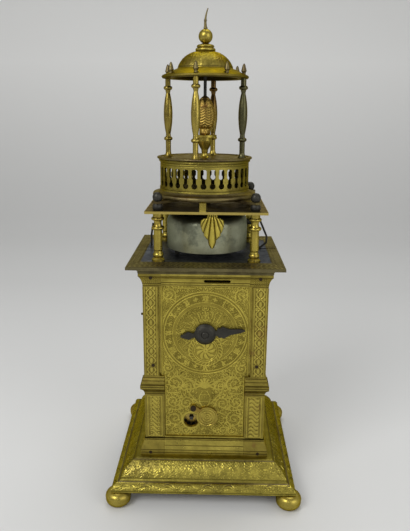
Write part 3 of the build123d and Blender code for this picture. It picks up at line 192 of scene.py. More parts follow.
def loft(name: str, loops: Array, relief: Array | None = None, ring: bool = False) -> Piece:
    """A closed shell through loops of points, with a fan at each end or joined end to end.

    The sign of its volume, the sum of each face's centre times its normal, tells whether the
    faces look outwards, and they are all turned over if they don't.

    Args:
        name: the piece's name.
        loops: rows of closed loops, each with the same number of points.
        relief: the relief of each point, in the same rows.
        ring: whether the last loop joins the first.

    Returns:
        The new object.
    """
    rows, columns = loops.shape[:2]
    points = loops.reshape(-1, 3)
    values = np.zeros(len(points)) if relief is None else relief.reshape(-1)
    quads = grid_quads(rows, columns, closed=True)
    triangles = None
    around = np.arange(columns)
    if ring:
        last = (rows - 1) * columns
        after = (around + 1) % columns
        joint = np.stack([last + around, last + after, after, around], -1)
        quads = np.concatenate([quads, joint])
    else:
        ends = np.stack([loops[0].mean(0), loops[-1].mean(0)])
        first, last = len(points), len(points) + 1
        top = (rows - 1) * columns
        after = (around + 1) % columns
        triangles = np.concatenate([
            np.stack([after, around, np.full(columns, first)], -1),
            np.stack([top + around, top + after, np.full(columns, last)], -1),
        ])
        points = np.concatenate([points, ends])
        values = np.concatenate([values, [0.0, 0.0]])
    centres = points[quads].mean(1) - points.mean(0)
    if (centres * face_normals(points, quads)).sum() < 0:
        quads = quads[:, ::-1]
        triangles = None if triangles is None else triangles[:, ::-1]
    return mesh_piece(name, points, quads, triangles, values)


def sampled(steps: list | tuple, spacing: float = 0.4) -> Array:
    """Points along a profile of straight runs and bows.

    A bow from A through M to B is the parabola (1-t)(1-2t) A + 4t(1-t) M + t(2t-1) B.

    Args:
        steps: the first point, then a point for a run or a pair of points for a bow.
        spacing: how far apart the points are, in millimetres.

    Returns:
        The points, two numbers in each row.
    """
    here = np.array(steps[0], float)
    parts = [here[None, :]]
    for step in steps[1:]:
        bow = isinstance(step[0], tuple)
        there = np.array(step[1] if bow else step, float)
        count = max(2, int(np.linalg.norm(there - here) / spacing) + 1)
        t = np.linspace(0, 1, count + 1)[1:, None]
        if bow:
            through = np.array(step[0], float)
            run = (1 - t) * (1 - 2 * t) * here + 4 * t * (1 - t) * through + t * (2 * t - 1) * there
        else:
            run = here + t * (there - here)
        parts.append(run)
        here = there
    return np.concatenate(parts)


def profile_normals(line: Array) -> Array:
    """Normals of a profile, each a quarter turn clockwise from the way the line runs."""
    along = np.gradient(line, axis=0)
    along /= np.maximum(np.linalg.norm(along, axis=1, keepdims=True), 1e-9)
    return np.stack([along[:, 1], -along[:, 0]], -1)


def turned_loops(line: Array, around: int, swell: Array | float = 0.0) -> Array:
    """A profile of radius and height turned about Z: x = r cos a, y = r sin a.

    Args:
        line: the profile.
        around: how many points in a turn.
        swell: how far each point stands out, along the profile's normal.

    Returns:
        The loops, one row of points for each point of the profile.
    """
    angle = np.linspace(0, 2 * np.pi, around, endpoint=False)
    normal = profile_normals(line)
    push = np.broadcast_to(swell, (len(line), around))
    radius = line[:, :1] + normal[:, :1] * push
    height = line[:, 1:] + normal[:, 1:] * push
    return np.stack([radius * np.cos(angle), radius * np.sin(angle), height], -1)


def ridge(distance: Array, half_width: float | Array) -> Array:
    """A rounded stroke: the square root of 1 - (distance / half width) squared, or 0 outside."""
    return np.sqrt(np.clip(1 - (distance / half_width) ** 2, 0, 1))


# Engraving


@dataclass
class Relief:
    """A height field over a flat field of across and up, which strokes are drawn into.

    Attributes:
        across: the sideways place of each point, in millimetres.
        up: the height of each point, in millimetres.
        height: from 0 in the ground to 1 on the highest strokes.
    """

    across: Array
    up: Array
    height: Array = field(init=False)

    def __post_init__(self) -> None:
        """Starts from a flat ground."""
        self.height = np.zeros_like(self.across)

    def stroke(self, line: Array, width: Array | float, rise: float = 1.0) -> None:
        """Draws one stroke, whose height at a point is the ridge of its nearest sample.

        Args:
            line: the samples along the stroke.
            width: its half width at each sample.
            rise: its height at the middle.
        """
        widths = np.broadcast_to(np.asarray(width, float), len(line))
        reach = widths.max()
        low, high = line.min(0) - reach, line.max(0) + reach
        near = (
            (self.across >= low[0]) & (self.across <= high[0])
            & (self.up >= low[1]) & (self.up <= high[1])
        )
        if not near.any():
            return
        place = np.stack([self.across[near], self.up[near]], -1)
        apart = np.linalg.norm(place[:, None, :] - line[None, :, :], axis=-1) / widths
        drawn = ridge(apart.min(1), 1.0) * rise
        self.height[near] = np.maximum(self.height[near], drawn)

    def both(self, line: Array, width: Array | float, rise: float = 1.0) -> None:
        """Draws a stroke and its mirror image across the middle."""
        self.stroke(line, width, rise)
        self.stroke(line * np.array([-1.0, 1.0]), width, rise)

    def ring(self, centre: Point, radius: float, width: float, rise: float = 1.0) -> None:
        """Raises a circle: the ridge of how far a point is from the circle's line."""
        apart = np.abs(np.hypot(self.across - centre[0], self.up - centre[1]) - radius)
        self.height = np.maximum(self.height, ridge(apart, width) * rise)

    def clear(self, inside: Array, height: float = 0.0) -> None:
        """Brings the field down to a height where a mask is true."""
        self.height = np.where(inside, height, self.height)

    def tendrils(self, inside: Array, pitch: float, seed: int, rise: float = 0.6) -> None:
        """Fills a mask with small curling strokes, the same on the left and right.

        The strokes are the level lines of a sum of sine waves with random directions, and
        the waves read the distance from the middle, so both halves match.

        Args:
            inside: where they are drawn.
            pitch: about how far apart they lie, in millimetres.
            seed: which pattern it is.
            rise: how high they stand.
        """
        chance = np.random.default_rng(seed)
        turn = chance.uniform(0, 2 * np.pi, 7)
        shift = chance.uniform(0, 2 * np.pi, 7)
        wave = 2 * np.pi / (pitch * chance.uniform(3.0, 6.0, 7))
        aside, above = np.abs(self.across)[..., None], self.up[..., None]
        waves = np.sin(wave * (aside * np.cos(turn) + above * np.sin(turn)) + shift).sum(-1)
        drawn = np.clip(np.abs(np.sin(1.9 * waves)) * 1.5 - 0.45, 0, 1)
        self.height = np.maximum(self.height, np.where(inside, drawn * rise, 0))


def bend(points: list[Point] | tuple[Point, ...], count: int = 36) -> Array:
    """A smooth curve with four control points: the cubic with weights 1, 3, 3, 1."""
    t = np.linspace(0, 1, count)[:, None]
    first, second, third, fourth = (np.array(p, float) for p in points)
    rest = 1 - t
    return rest**3 * first + 3 * rest**2 * t * second + 3 * rest * t**2 * third + t**3 * fourth


def leaf_width(widest: float, count: int = 36) -> Array:
    """Half widths of a leaf: the sine of half a turn to the power 0.7, a little fuller."""
    return widest * (0.12 + 0.88 * np.sin(np.pi * np.linspace(0.04, 0.97, count)) ** 0.7)


def volute(centre: Point, radius: float, start: float, turns: float, count: int = 90) -> Array:
    """A spiral that winds in: its radius falls with the power 0.8 of the way still to go."""
    t = np.linspace(0, 1, count)
    angle = math.radians(start) + 2 * np.pi * turns * t
    away = radius * (1 - t) ** 0.8 + 0.12 * radius
    return np.stack([centre[0] + away * np.cos(angle), centre[1] + away * np.sin(angle)], -1)


def acanthus(field_: Relief, centre: Point, radius: float, start: float, way: int) -> None:
    """A volute with leaves along its outside, drawn on the left and the right.

    Args:
        field_: where it is drawn.
        centre: the middle of the volute.
        radius: its outer radius.
        start: the angle at which its stem comes in, in degrees.
        way: 1 to wind against the clock and -1 with it.
    """
    spiral = volute(centre, radius, start, way * 1.7)
    field_.both(spiral, np.linspace(0.085, 0.05, len(spiral)) * radius + 0.1)
    field_.both(np.array([centre]), 0.11 * radius + 0.2)
    for number in range(9):
        angle = math.radians(start + way * (18 + 33 * number))
        away = radius * (1 - (18 + 33 * number) / 612) ** 0.8 + 0.12 * radius
        root = (centre[0] + away * math.cos(angle), centre[1] + away * math.sin(angle))
        lean = angle + way * 0.5
        reach = 0.62 * radius
        tip = (root[0] + reach * math.cos(lean), root[1] + reach * math.sin(lean))
        side = (root[0] + 0.6 * reach * math.cos(angle), root[1] + 0.6 * reach * math.sin(angle))
        field_.both(bend([root, side, side, tip], 14), leaf_width(0.085 * radius, 14), 0.85)


def fan(
    field_: Relief, root: Point, reach: float, blades: int, spread: float, width: float
) -> None:
    """A palmette: leaves that spread from one root, the middle one upright.

    Args:
        field_: where it is drawn.
        root: the point that they rise from.
        reach: the length of the middle one.
        blades: how many leaves.
        spread: the angle from the first to the last, in degrees.
        width: half the width of a leaf.
    """
    for turn in np.radians(np.linspace(-spread / 2, spread / 2, blades)):
        length = reach * (0.72 + 0.28 * math.cos(turn))
        tip = (root[0] + length * math.sin(turn * 1.15), root[1] + length * math.cos(turn * 1.15))
        knee = (
            root[0] + 0.6 * length * math.sin(turn * 0.7),
            root[1] + 0.6 * length * math.cos(turn * 0.7),
        )
        field_.stroke(bend([root, knee, knee, tip], 20), leaf_width(width, 20), 0.95)


# Node kit for the materials


class Nodes:
    """Adds and joins the nodes of one tree, with short calls for the common ones."""

    def __init__(self, tree: Tree) -> None:
        """Keeps the tree."""
        self.tree = tree

    def add(self, kind: str, **settings: object) -> bpy.types.Node:
        """A new node of a kind, with its settings."""
        node = self.tree.nodes.new(kind)
        for name, value in settings.items():
            setattr(node, name, value)
        return node

    def put(self, value: object, socket: Socket) -> None:
        """Gives a socket a link, a colour or a number."""
        if isinstance(value, Socket):
            self.tree.links.new(value, socket)
        elif isinstance(value, tuple) and len(value) == 3 and socket.type == "RGBA":
            socket.default_value = (*value, 1.0)
        else:
            socket.default_value = value

    def place(self) -> Socket:
        """Object coordinates, which are metres in the frame of the solids."""
        return self.add("ShaderNodeTexCoord").outputs["Object"]

    def noise(
        self, vector: object, scale: object, detail: float = 4.0, rough: float = 0.55
    ) -> Socket:
        """A noise value over the place."""
        node = self.add("ShaderNodeTexNoise")
        self.put(vector, node.inputs["Vector"])
        self.put(scale, node.inputs["Scale"])
        self.put(detail, node.inputs["Detail"])
        self.put(rough, node.inputs["Roughness"])
        return node.outputs[0]

    def between(
        self, value: object, low: float, high: float, to_low: float = 0.0, to_high: float = 1.0
    ) -> Socket:
        """Stretches a value from one range to another, and stops at its ends."""
        node = self.add("ShaderNodeMapRange")
        for place, given in enumerate((value, low, high, to_low, to_high)):
            self.put(given, node.inputs[place])
        return node.outputs[0]

    def sum(self, way: str, first: object, second: object = 0.0) -> Socket:
        """One step of arithmetic."""
        node = self.add("ShaderNodeMath", operation=way)
        self.put(first, node.inputs[0])
        self.put(second, node.inputs[1])
        return node.outputs[0]

    def blend(self, share: object, first: object, second: object) -> Socket:
        """Mixes two colours."""
        node = self.add("ShaderNodeMix", data_type="RGBA")
        for place, given in ((0, share), (6, first), (7, second)):
            self.put(given, node.inputs[place])
        return node.outputs[2]

    def group(self, tree: Tree, **values: object) -> bpy.types.Node:
        """Places a node group with its own values."""
        node = self.add("ShaderNodeGroup", node_tree=tree)
        for name, value in values.items():
            self.put(value, node.inputs[name.replace("_", " ")])
        return node


class SharedEffects:
    """Node groups that the finishes share. They put out masks and heights alone."""

    def __init__(self) -> None:
        """Builds each group once."""
        self.tarnish = self._tarnish()
        self.tooling = self._tooling()

    @staticmethod
    def _start(name: str, inputs: list[tuple[str, str]], outputs: list[str]) -> tuple:
        """A new group with its sockets."""
        tree = bpy.data.node_groups.new(name, "ShaderNodeTree")
        for label, kind in inputs:
            tree.interface.new_socket(name=label, in_out="INPUT", socket_type=kind)
        for label in outputs:
            tree.interface.new_socket(name=label, in_out="OUTPUT", socket_type="NodeSocketFloat")
        kit = Nodes(tree)
        return tree, kit, kit.add("NodeGroupInput").outputs, kit.add("NodeGroupOutput").inputs

    def _tarnish(self) -> Tree:
        """Blotches of tarnish and smaller spots, as two masks."""
        tree, kit, given, wanted = self._start(
            "tarnish",
            [
                ("Place", "NodeSocketVector"), ("Blotch", "NodeSocketFloat"),
                ("Share", "NodeSocketFloat"),
            ],
            ["Blotches", "Spots"],
        )
        broad = kit.noise(given["Place"], given["Blotch"], 5.0, 0.62)
        low = kit.sum("SUBTRACT", 0.72, kit.sum("MULTIPLY", given["Share"], 0.4))
        high = kit.sum("ADD", low, 0.12)
        kit.put(self._step(kit, broad, low, high), wanted["Blotches"])
        fine = kit.noise(given["Place"], 900.0, 3.0, 0.7)
        kit.put(kit.between(fine, 0.60, 0.70), wanted["Spots"])
        return tree

    @staticmethod
    def _step(kit: Nodes, value: object, low: object, high: object) -> Socket:
        """A soft step between two limits that are worked out."""
        node = kit.add("ShaderNodeMapRange", interpolation_type="SMOOTHSTEP")
        for place, given in enumerate((value, low, high, 0.0, 1.0)):
            kit.put(given, node.inputs[place])
        return node.outputs[0]

    def _tooling(self) -> Tree:
        """The height of hammer dimples, fine file scratches and pits."""
        tree, kit, given, wanted = self._start(
            "tooling",
            [
                ("Place", "NodeSocketVector"), ("Dimples", "NodeSocketFloat"),
                ("Scratches", "NodeSocketFloat"),
            ],
            ["Height"],
        )
        dimples = kit.noise(given["Place"], 260.0, 3.0)
        stretch = kit.add("ShaderNodeMapping")
        kit.put(given["Place"], stretch.inputs["Vector"])
        stretch.inputs["Rotation"].default_value = (0.3, 0.2, 0.7)
        stretch.inputs["Scale"].default_value = (1.0, 1.0, 14.0)
        scratches = kit.noise(stretch.outputs[0], 240.0, 2.0, 0.7)
        pits = kit.between(kit.noise(given["Place"], 1500.0, 2.0), 0.62, 0.74, 0.0, -0.8)
        height = kit.sum("MULTIPLY", dimples, given["Dimples"])
        height = kit.sum("ADD", height, kit.sum("MULTIPLY", scratches, given["Scratches"]))
        kit.put(kit.sum("ADD", height, pits), wanted["Height"])
        return tree


@dataclass(frozen=True)
class Finish:
    """One metal finish.

    Attributes:
        name: the material's name.
        slot: the record's material slot that it belongs to; it is not used.
        bright: colour of rubbed metal.
        dull: colour of tarnish and of the lines beside the strokes; darker shares of it are also
            the painted shade where the metal turns away, on the roof's underside and inside, and
            over the bell's top.
        stain: colour of the blotches.
        metal: how metallic it is.
        gloss: lowest and highest roughness.
        blotch: scale of the blotches, and share of the surface that they cover.
        tooling: strength of dimples and of scratches.
        depth: how deep the fine bumps look, in millimetres.
        engraved: whether it reads the relief of its piece.
        rules: heights of ruled grooves, in millimetres.
        shade: painted shade, how far the colour darkens where the surface turns away from the view.
        rim: half the size at which a bright edge starts, in millimetres, or 0 for none.
        hollow: radius round the gallery's axis within which the colour is painted nearly black as
            shade inside the gallery, or 0 for none.
        far_side: how far to the right of the gallery's axis a dark green colour starts, or 0.
        dark_above: the height above which the colour is painted dark as the shadow under the plate
            over the bell, in millimetres, or 0.
    """

    name: str
    slot: str
    bright: Colour
    dull: Colour
    stain: Colour
    metal: float = 0.92
    gloss: tuple[float, float] = (0.24, 0.46)
    blotch: tuple[float, float] = (38.0, 0.35)
    tooling: tuple[float, float] = (1.0, 0.5)
    depth: float = 0.12
    engraved: bool = False
    rules: tuple[float, ...] = ()
    shade: float = 0.55
    rim: float = 0.0
    hollow: float = 0.0
    far_side: float = 0.0
    dark_above: float = 0.0

    def toned(self, kit: Nodes, effects: SharedEffects, place: Socket) -> Socket:
        """The colour of the metal with its mottling, blotches and spots.

        Args:
            kit: the material's nodes.
            effects: the shared node groups.
            place: object coordinates.

        Returns:
            The colour.
        """
        tarnish = kit.group(
            effects.tarnish, Place=place, Blotch=self.blotch[0], Share=self.blotch[1]
        )
        tone = kit.between(kit.noise(place, 120.0, 5.0, 0.6), 0.3, 0.7, 0.0, 0.5)
        colour = kit.blend(tone, self.bright, self.dull)
        colour = kit.blend(
            kit.sum("MULTIPLY", tarnish.outputs["Blotches"], 0.6), colour, self.stain
        )
        return kit.blend(kit.sum("MULTIPLY", tarnish.outputs["Spots"], 0.5), colour, self.dull)

    def relieved(
        self, kit: Nodes, place: object, colour: object, rough: object, height: object
    ) -> tuple:
        """Engraving: dark lines beside the strokes, a matt ground, rubbed tops, and painted shade
        where the relief is below zero.

        Args:
            kit: the material's nodes.
            place: object coordinates.
            colour: the colour so far.
            rough: the roughness so far.
            height: the fine height so far.

        Returns:
            The three, with the engraving.
        """
        drawn = kit.add("ShaderNodeAttribute", attribute_name=RELIEF).outputs["Fac"]
        flank = kit.sum(
            "MULTIPLY", kit.between(drawn, 0.03, 0.12), kit.between(drawn, 0.2, 0.42, 1.0, 0.0)
        )
        ground = kit.between(drawn, 0.02, 0.1, 0.42, 0.0)
        colour = kit.blend(ground, colour, self.dull)
        colour = kit.blend(kit.sum("MULTIPLY", flank, 0.9), colour, self.dull)
        colour = kit.blend(kit.between(drawn, 0.6, 1.0, 0.0, 0.6), colour, self.bright)
        # Painted shade: relief below zero marks the roof's underside and inside, which are made
        # nearly black.
        shade_below_zero = kit.between(drawn, -0.7, -0.2, 1.0, 0.0)
        colour = kit.blend(shade_below_zero, colour, tuple(0.18 * part for part in self.dull))
        rough = kit.sum("ADD", rough, kit.sum("MULTIPLY", kit.sum("ADD", flank, ground), 0.25))
        grain = kit.sum("MULTIPLY", kit.noise(place, 1300.0, 2.0), ground)
        return colour, rough, kit.sum("ADD", height, kit.sum("MULTIPLY", grain, 5.0))

    def placed(self, kit: Nodes, place: object, colour: object, height: object) -> tuple:
        """Ruled grooves, a bright rim, painted shade inside the gallery, colours set by each
        column's place, and painted shadow over the bell's top.

        Args:
            kit: the material's nodes.
            place: object coordinates.
            colour: the colour so far.
            height: the fine height so far.

        Returns:
            The colour and the height.
        """
        parts = kit.add("ShaderNodeSeparateXYZ")
        kit.put(place, parts.inputs[0])
        across, deep, up = parts.outputs
        groove: object = 0.0
        for level in self.rules:
            apart = kit.sum("ABSOLUTE", kit.sum("SUBTRACT", up, level * METRES))
            groove = kit.sum(
                "MAXIMUM", groove, kit.between(apart, 0.16 * METRES, 0.48 * METRES, 1.0, 0.0)
            )
        if self.rules:
            colour = kit.blend(kit.sum("MULTIPLY", groove, 0.85), colour, self.dull)
            height = kit.sum("SUBTRACT", height, kit.sum("MULTIPLY", groove, 3.0))
        # A brighter colour along the plate's outer edge.
        if self.rim:
            out = kit.sum("MAXIMUM", kit.sum("ABSOLUTE", across), kit.sum("ABSOLUTE", deep))
            edge = kit.between(out, self.rim * METRES, (self.rim + 0.4) * METRES)
            colour = kit.blend(kit.sum("MULTIPLY", edge, 0.85), colour, BRIGHT_EDGE_COLOUR)
        aside = kit.sum("SUBTRACT", across, GALLERY_ASIDE * METRES)
        # Painted shade: the inside of the gallery, within the hollow's radius, is made nearly
        # black.
        if self.hollow:
            away = kit.sum(
                "SQRT",
                kit.sum("ADD", kit.sum("MULTIPLY", aside, aside), kit.sum("MULTIPLY", deep, deep)),
            )
            inner = kit.between(away, (self.hollow - 0.2) * METRES, self.hollow * METRES, 0.93, 0.0)
            colour = kit.blend(inner, colour, PAINTED_SHADE_INSIDE)
        # The columns are coloured by where they stand: dark green on the right, dark red at the
        # back high up, and duller on the left.
        if self.far_side:
            far = kit.between(
                aside, self.far_side * METRES, (self.far_side + 4) * METRES, 0.0, 0.88
            )
            colour = kit.blend(far, colour, FAR_COLUMN_GREEN)
            high = kit.between(up, 0.262, 0.292)
            behind = kit.sum("MULTIPLY", kit.between(deep, 0.008, 0.014, 0.0, 0.85), high)
            colour = kit.blend(behind, colour, BACK_COLUMN_RED)
            left = kit.between(aside, -0.020, -0.014, 0.5, 0.0)
            colour = kit.blend(left, colour, self.dull)
        # Painted shadow: above this height the bell darkens, as the plate over it shades it.
        if self.dark_above:
            painted_shadow = kit.between(
                up, (self.dark_above - 3) * METRES, (self.dark_above + 2) * METRES, 0.0, 0.85
            )
            colour = kit.blend(painted_shadow, colour, tuple(0.25 * part for part in self.dull))
        return colour, height

    def material(self, effects: SharedEffects) -> bpy.types.Material:
        """The procedural material of this finish.

        Args:
            effects: the shared node groups.

        Returns:
            A new material.
        """
        made = bpy.data.materials.new(self.name)
        made.use_nodes = True
        made.node_tree.nodes.clear()
        kit = Nodes(made.node_tree)
        place = kit.place()
        tooling = kit.group(
            effects.tooling, Place=place, Dimples=self.tooling[0], Scratches=self.tooling[1]
        )
        height = tooling.outputs["Height"]
        colour = self.toned(kit, effects, place)
        rough = kit.between(kit.noise(place, 170.0, 4.0), 0.3, 0.7, *self.gloss)
        if self.engraved:
            colour, rough, height = self.relieved(kit, place, colour, rough, height)
        if self.rules or self.rim or self.hollow or self.far_side or self.dark_above:
            colour, height = self.placed(kit, place, colour, height)
        # Painted shade: the colour darkens towards a dark share of the dull colour where the
        # surface turns away from the view.
        turned = kit.add("ShaderNodeLayerWeight").outputs["Facing"]
        away = kit.between(turned, 0.35, 0.95, 0.0, self.shade)
        colour = kit.blend(away, colour, tuple(0.3 * part for part in self.dull))
        bump = kit.add("ShaderNodeBump")
        bump.inputs["Strength"].default_value = 0.6
        bump.inputs["Distance"].default_value = self.depth * METRES
        kit.put(height, bump.inputs["Height"])
        shader = kit.add("ShaderNodeBsdfPrincipled")
        shader.inputs["Metallic"].default_value = self.metal
        strongest = max(self.bright)
        shader.inputs["Specular Tint"].default_value = (
            *(0.85 * part / strongest for part in self.bright), 1.0
        )
        kit.put(colour, shader.inputs["Base Color"])
        kit.put(rough, shader.inputs["Roughness"])
        kit.put(bump.outputs[0], shader.inputs["Normal"])
        out = kit.add("ShaderNodeOutputMaterial")
        kit.put(shader.outputs[0], out.inputs["Surface"])
        return made


GILT_BRIGHT, GILT_DULL = (0.59, 0.482, 0.088), (0.10, 0.076, 0.013)
POST_RULES = (32.7, 35.1, 42.4, 43.6, 80.4, 82.4, 84.9, 86.7, 88.6, 91.4, 93.8, 164.5, 166.4, 171.9)
RAIL_RULES = (32.7, 35.1, 38.3, 42.4, 43.6, 165.3, 167.0, 170.9, 172.4)
GILT = Finish(
    "gilt_relief", "gilt_brass", GILT_BRIGHT, GILT_DULL, (0.30, 0.18, 0.05), metal=0.96,
    engraved=True, blotch=(45.0, 0.25), shade=0.3,
)
GILT_POST = Finish(
    "gilt_post_relief", "gilt_brass", (0.54, 0.44, 0.085), (0.07, 0.05, 0.012),
    (0.32, 0.17, 0.055), metal=0.96, engraved=True, blotch=(60.0, 0.3), rules=POST_RULES,
    shade=0.3,
)
GILT_PLAIN = Finish(
    "gilt_plain", "gilt_brass", (0.47, 0.375, 0.075), (0.18, 0.135, 0.028), (0.26, 0.15, 0.035),
    blotch=(60.0, 0.35), gloss=(0.2, 0.4), shade=0.9,
)
GILT_COLUMN = Finish(
    "gilt_column", "gilt_brass", (0.44, 0.345, 0.075), (0.15, 0.11, 0.025), (0.13, 0.08, 0.025),
    blotch=(70.0, 0.45), gloss=(0.18, 0.38), shade=0.95, far_side=14.0,
)
GILT_DRUM = Finish(
    "gilt_drum", "gilt_brass", (0.36, 0.295, 0.06), (0.13, 0.105, 0.022), (0.15, 0.11, 0.03),
    blotch=(50.0, 0.4), rules=(229.4, 247.0, 248.4, 249.6), hollow=32.2, shade=0.9,
)
GILT_RULED = Finish(
    "gilt_ruled", "gilt_brass", (0.52, 0.425, 0.085), (0.10, 0.076, 0.016), (0.30, 0.18, 0.045),
    metal=0.96, rules=RAIL_RULES, blotch=(60.0, 0.3), shade=0.3,
)
BASE = Finish(
    "base_relief", "base_brass", (0.46, 0.38, 0.07), (0.05, 0.042, 0.010), (0.14, 0.11, 0.035),
    metal=0.96, engraved=True, blotch=(28.0, 0.4), gloss=(0.18, 0.38), shade=0.6,
)
SIDES = Finish(
    "side_relief", "side_brass", (0.36, 0.29, 0.095), (0.075, 0.06, 0.026), (0.14, 0.105, 0.06),
    engraved=True, blotch=(30.0, 0.45),
)
BORDER = Finish(
    "border_relief", "aged_brass", (0.27, 0.23, 0.10), (0.05, 0.043, 0.026), (0.09, 0.07, 0.045),
    engraved=True, gloss=(0.35, 0.6), blotch=(50.0, 0.5), shade=0.4,
)
AGED = Finish(
    "aged_brass_plain", "aged_brass", (0.21, 0.17, 0.07), (0.06, 0.048, 0.025),
    (0.08, 0.055, 0.033), gloss=(0.3, 0.56), blotch=(40.0, 0.55), shade=0.7,
)
CANOPY = Finish(
    "canopy_plate_aged", "aged_brass", (0.15, 0.12, 0.06), (0.045, 0.036, 0.026),
    (0.11, 0.07, 0.05), gloss=(0.3, 0.55), blotch=(30.0, 0.5), rim=42.3,
)
AGED_RELIEF = Finish(
    "aged_gilt_relief", "gilt_brass", (0.37, 0.295, 0.06), (0.10, 0.076, 0.02),
    (0.14, 0.085, 0.03), metal=0.97, engraved=True, gloss=(0.26, 0.48), blotch=(80.0, 0.45),
    shade=0.8,
)
CARVED = Finish(
    "carved_gilt", "gilt_brass", (0.34, 0.235, 0.055), (0.11, 0.066, 0.02), (0.20, 0.085, 0.03),
    engraved=True, gloss=(0.3, 0.5), blotch=(150.0, 0.5), shade=0.6,
)
IRON = Finish(
    "blackened_iron_forged", "blackened_iron", (0.050, 0.048, 0.041), (0.015, 0.0145, 0.0125),
    (0.040, 0.029, 0.021), metal=0.7, gloss=(0.34, 0.56), tooling=(1.6, 0.8), depth=0.2,
)
PIN = Finish(
    "dark_iron_pin", "blackened_iron", (0.030, 0.022, 0.014), (0.012, 0.009, 0.006),
    (0.03, 0.016, 0.01), metal=0.5, gloss=(0.4, 0.6),
)
BLUED_PLATE = Finish(
    "blued_iron_plate", "blackened_iron", (0.048, 0.050, 0.052), (0.012, 0.013, 0.014),
    (0.045, 0.034, 0.026), metal=0.75, gloss=(0.3, 0.55), tooling=(1.2, 1.2),
)
STEEL = Finish(
    "worked_steel", "steel", (0.30, 0.30, 0.30), (0.12, 0.12, 0.12), (0.16, 0.12, 0.09),
    gloss=(0.24, 0.42), tooling=(0.4, 1.2), depth=0.05,
)
DARK_STEEL = Finish(
    "dark_winding_steel", "steel", (0.085, 0.08, 0.072), (0.03, 0.028, 0.025), (0.05, 0.04, 0.03),
    gloss=(0.3, 0.5), tooling=(0.4, 1.2), depth=0.05,
)
SPRING = Finish(
    "blued_spring_steel", "blued_spring", (0.06, 0.09, 0.22), (0.03, 0.04, 0.09),
    (0.12, 0.08, 0.12), gloss=(0.2, 0.36), tooling=(0.3, 1.0), depth=0.04,
)
BELL = Finish(
    "bell_bronze", "bell_metal", (0.42, 0.43, 0.30), (0.14, 0.155, 0.11), (0.075, 0.085, 0.062),
    metal=0.85, gloss=(0.3, 0.5), blotch=(46.0, 0.5), tooling=(1.3, 0.3), depth=0.1, shade=0.95,
    dark_above=206.5,
)
WHEELS = Finish(
    "cut_wheel_brass", "wheel_brass", (0.50, 0.38, 0.11), (0.26, 0.19, 0.055), (0.22, 0.14, 0.05),
    gloss=(0.22, 0.4), tooling=(0.5, 1.2), depth=0.05,
)


@dataclass
class Wardrobe:
    """Makes each finish once, and hangs it on pieces and on the solids that stay.

    Attributes:
        effects: the shared node groups.
        made: the materials so far, by name.
    """

    effects: SharedEffects = field(default_factory=SharedEffects)
    made: dict[str, bpy.types.Material] = field(default_factory=dict)

    def material(self, finish: Finish) -> bpy.types.Material:
        """The one material of a finish."""
        if finish.name not in self.made:
            self.made[finish.name] = finish.material(self.effects)
        return self.made[finish.name]

    def piece(self, made: Piece, body: str, finish: Finish, *stands_for: str) -> Piece:
        """Dresses a new piece and lets it ride on its body.

        Args:
            made: the piece.
            body: the body that it moves with.
            finish: what it is made of.
            stands_for: the solids that it replaces.

        Returns:
            The same piece.
        """
        made.data.materials.append(self.material(finish))
        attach(made, body)
        if stands_for:
            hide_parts(*stands_for)
        return made

    def solid(self, finish: Finish, *names: str) -> None:
        """Gives solids that stay a better material.

        Args:
            finish: what they are made of.
            names: the nodes.
        """
        for name in names:
            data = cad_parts[name].data
            if len(data.materials):
                data.materials[0] = self.material(finish)
            else:
                data.materials.append(self.material(finish))
            log.info("dressed %s in %s", name, finish.name)


# Sub-assemblies


@dataclass
class Outline:
    """Levels and widths that the tower's pieces share, as in the solids."""

    half: float = 44.65
    base_top: float = 30.8
    plinth_top: float = 43.5
    die_top: float = 80.0
    waist_top: float = 94.6
    shaft_top: float = 164.2
    post_top: float = 174.0
    moulding: float = 2.9
    panel_face: float = 43.2
    panel_bottom: float = 45.2

    def profile(self) -> Array:
        """The tower's profile from its foot to the cornice: how far out, and how high."""
        h, m = self.half, self.moulding
        waist, capital = self.waist_top - self.die_top, self.post_top - self.shaft_top
        return sampled([
            (h + 3.35, self.base_top),
            (h + 3.35, self.base_top + 4.2),
            ((h + 2.08, self.base_top + 7.87), (h + 0.75, self.plinth_top - 1.2)),
            (h + 0.75, self.plinth_top),
            (h, self.plinth_top),
            (h, self.die_top),
            ((h + m * 0.24, self.die_top + waist * 0.2), (h + m, self.die_top + waist * 0.36)),
            (h + m, self.die_top + waist * 0.56),
            (h + m * 0.74, self.die_top + waist * 0.6),
            ((h + m * 0.48, self.die_top + waist * 0.8), (h, self.waist_top)),
            (h, self.shaft_top),
            (
                (h + m * 0.3, self.shaft_top + capital * 0.46),
                (h + m, self.shaft_top + capital * 0.8),
            ),
            (h + m, self.post_top - 0.1),
        ], 0.42)


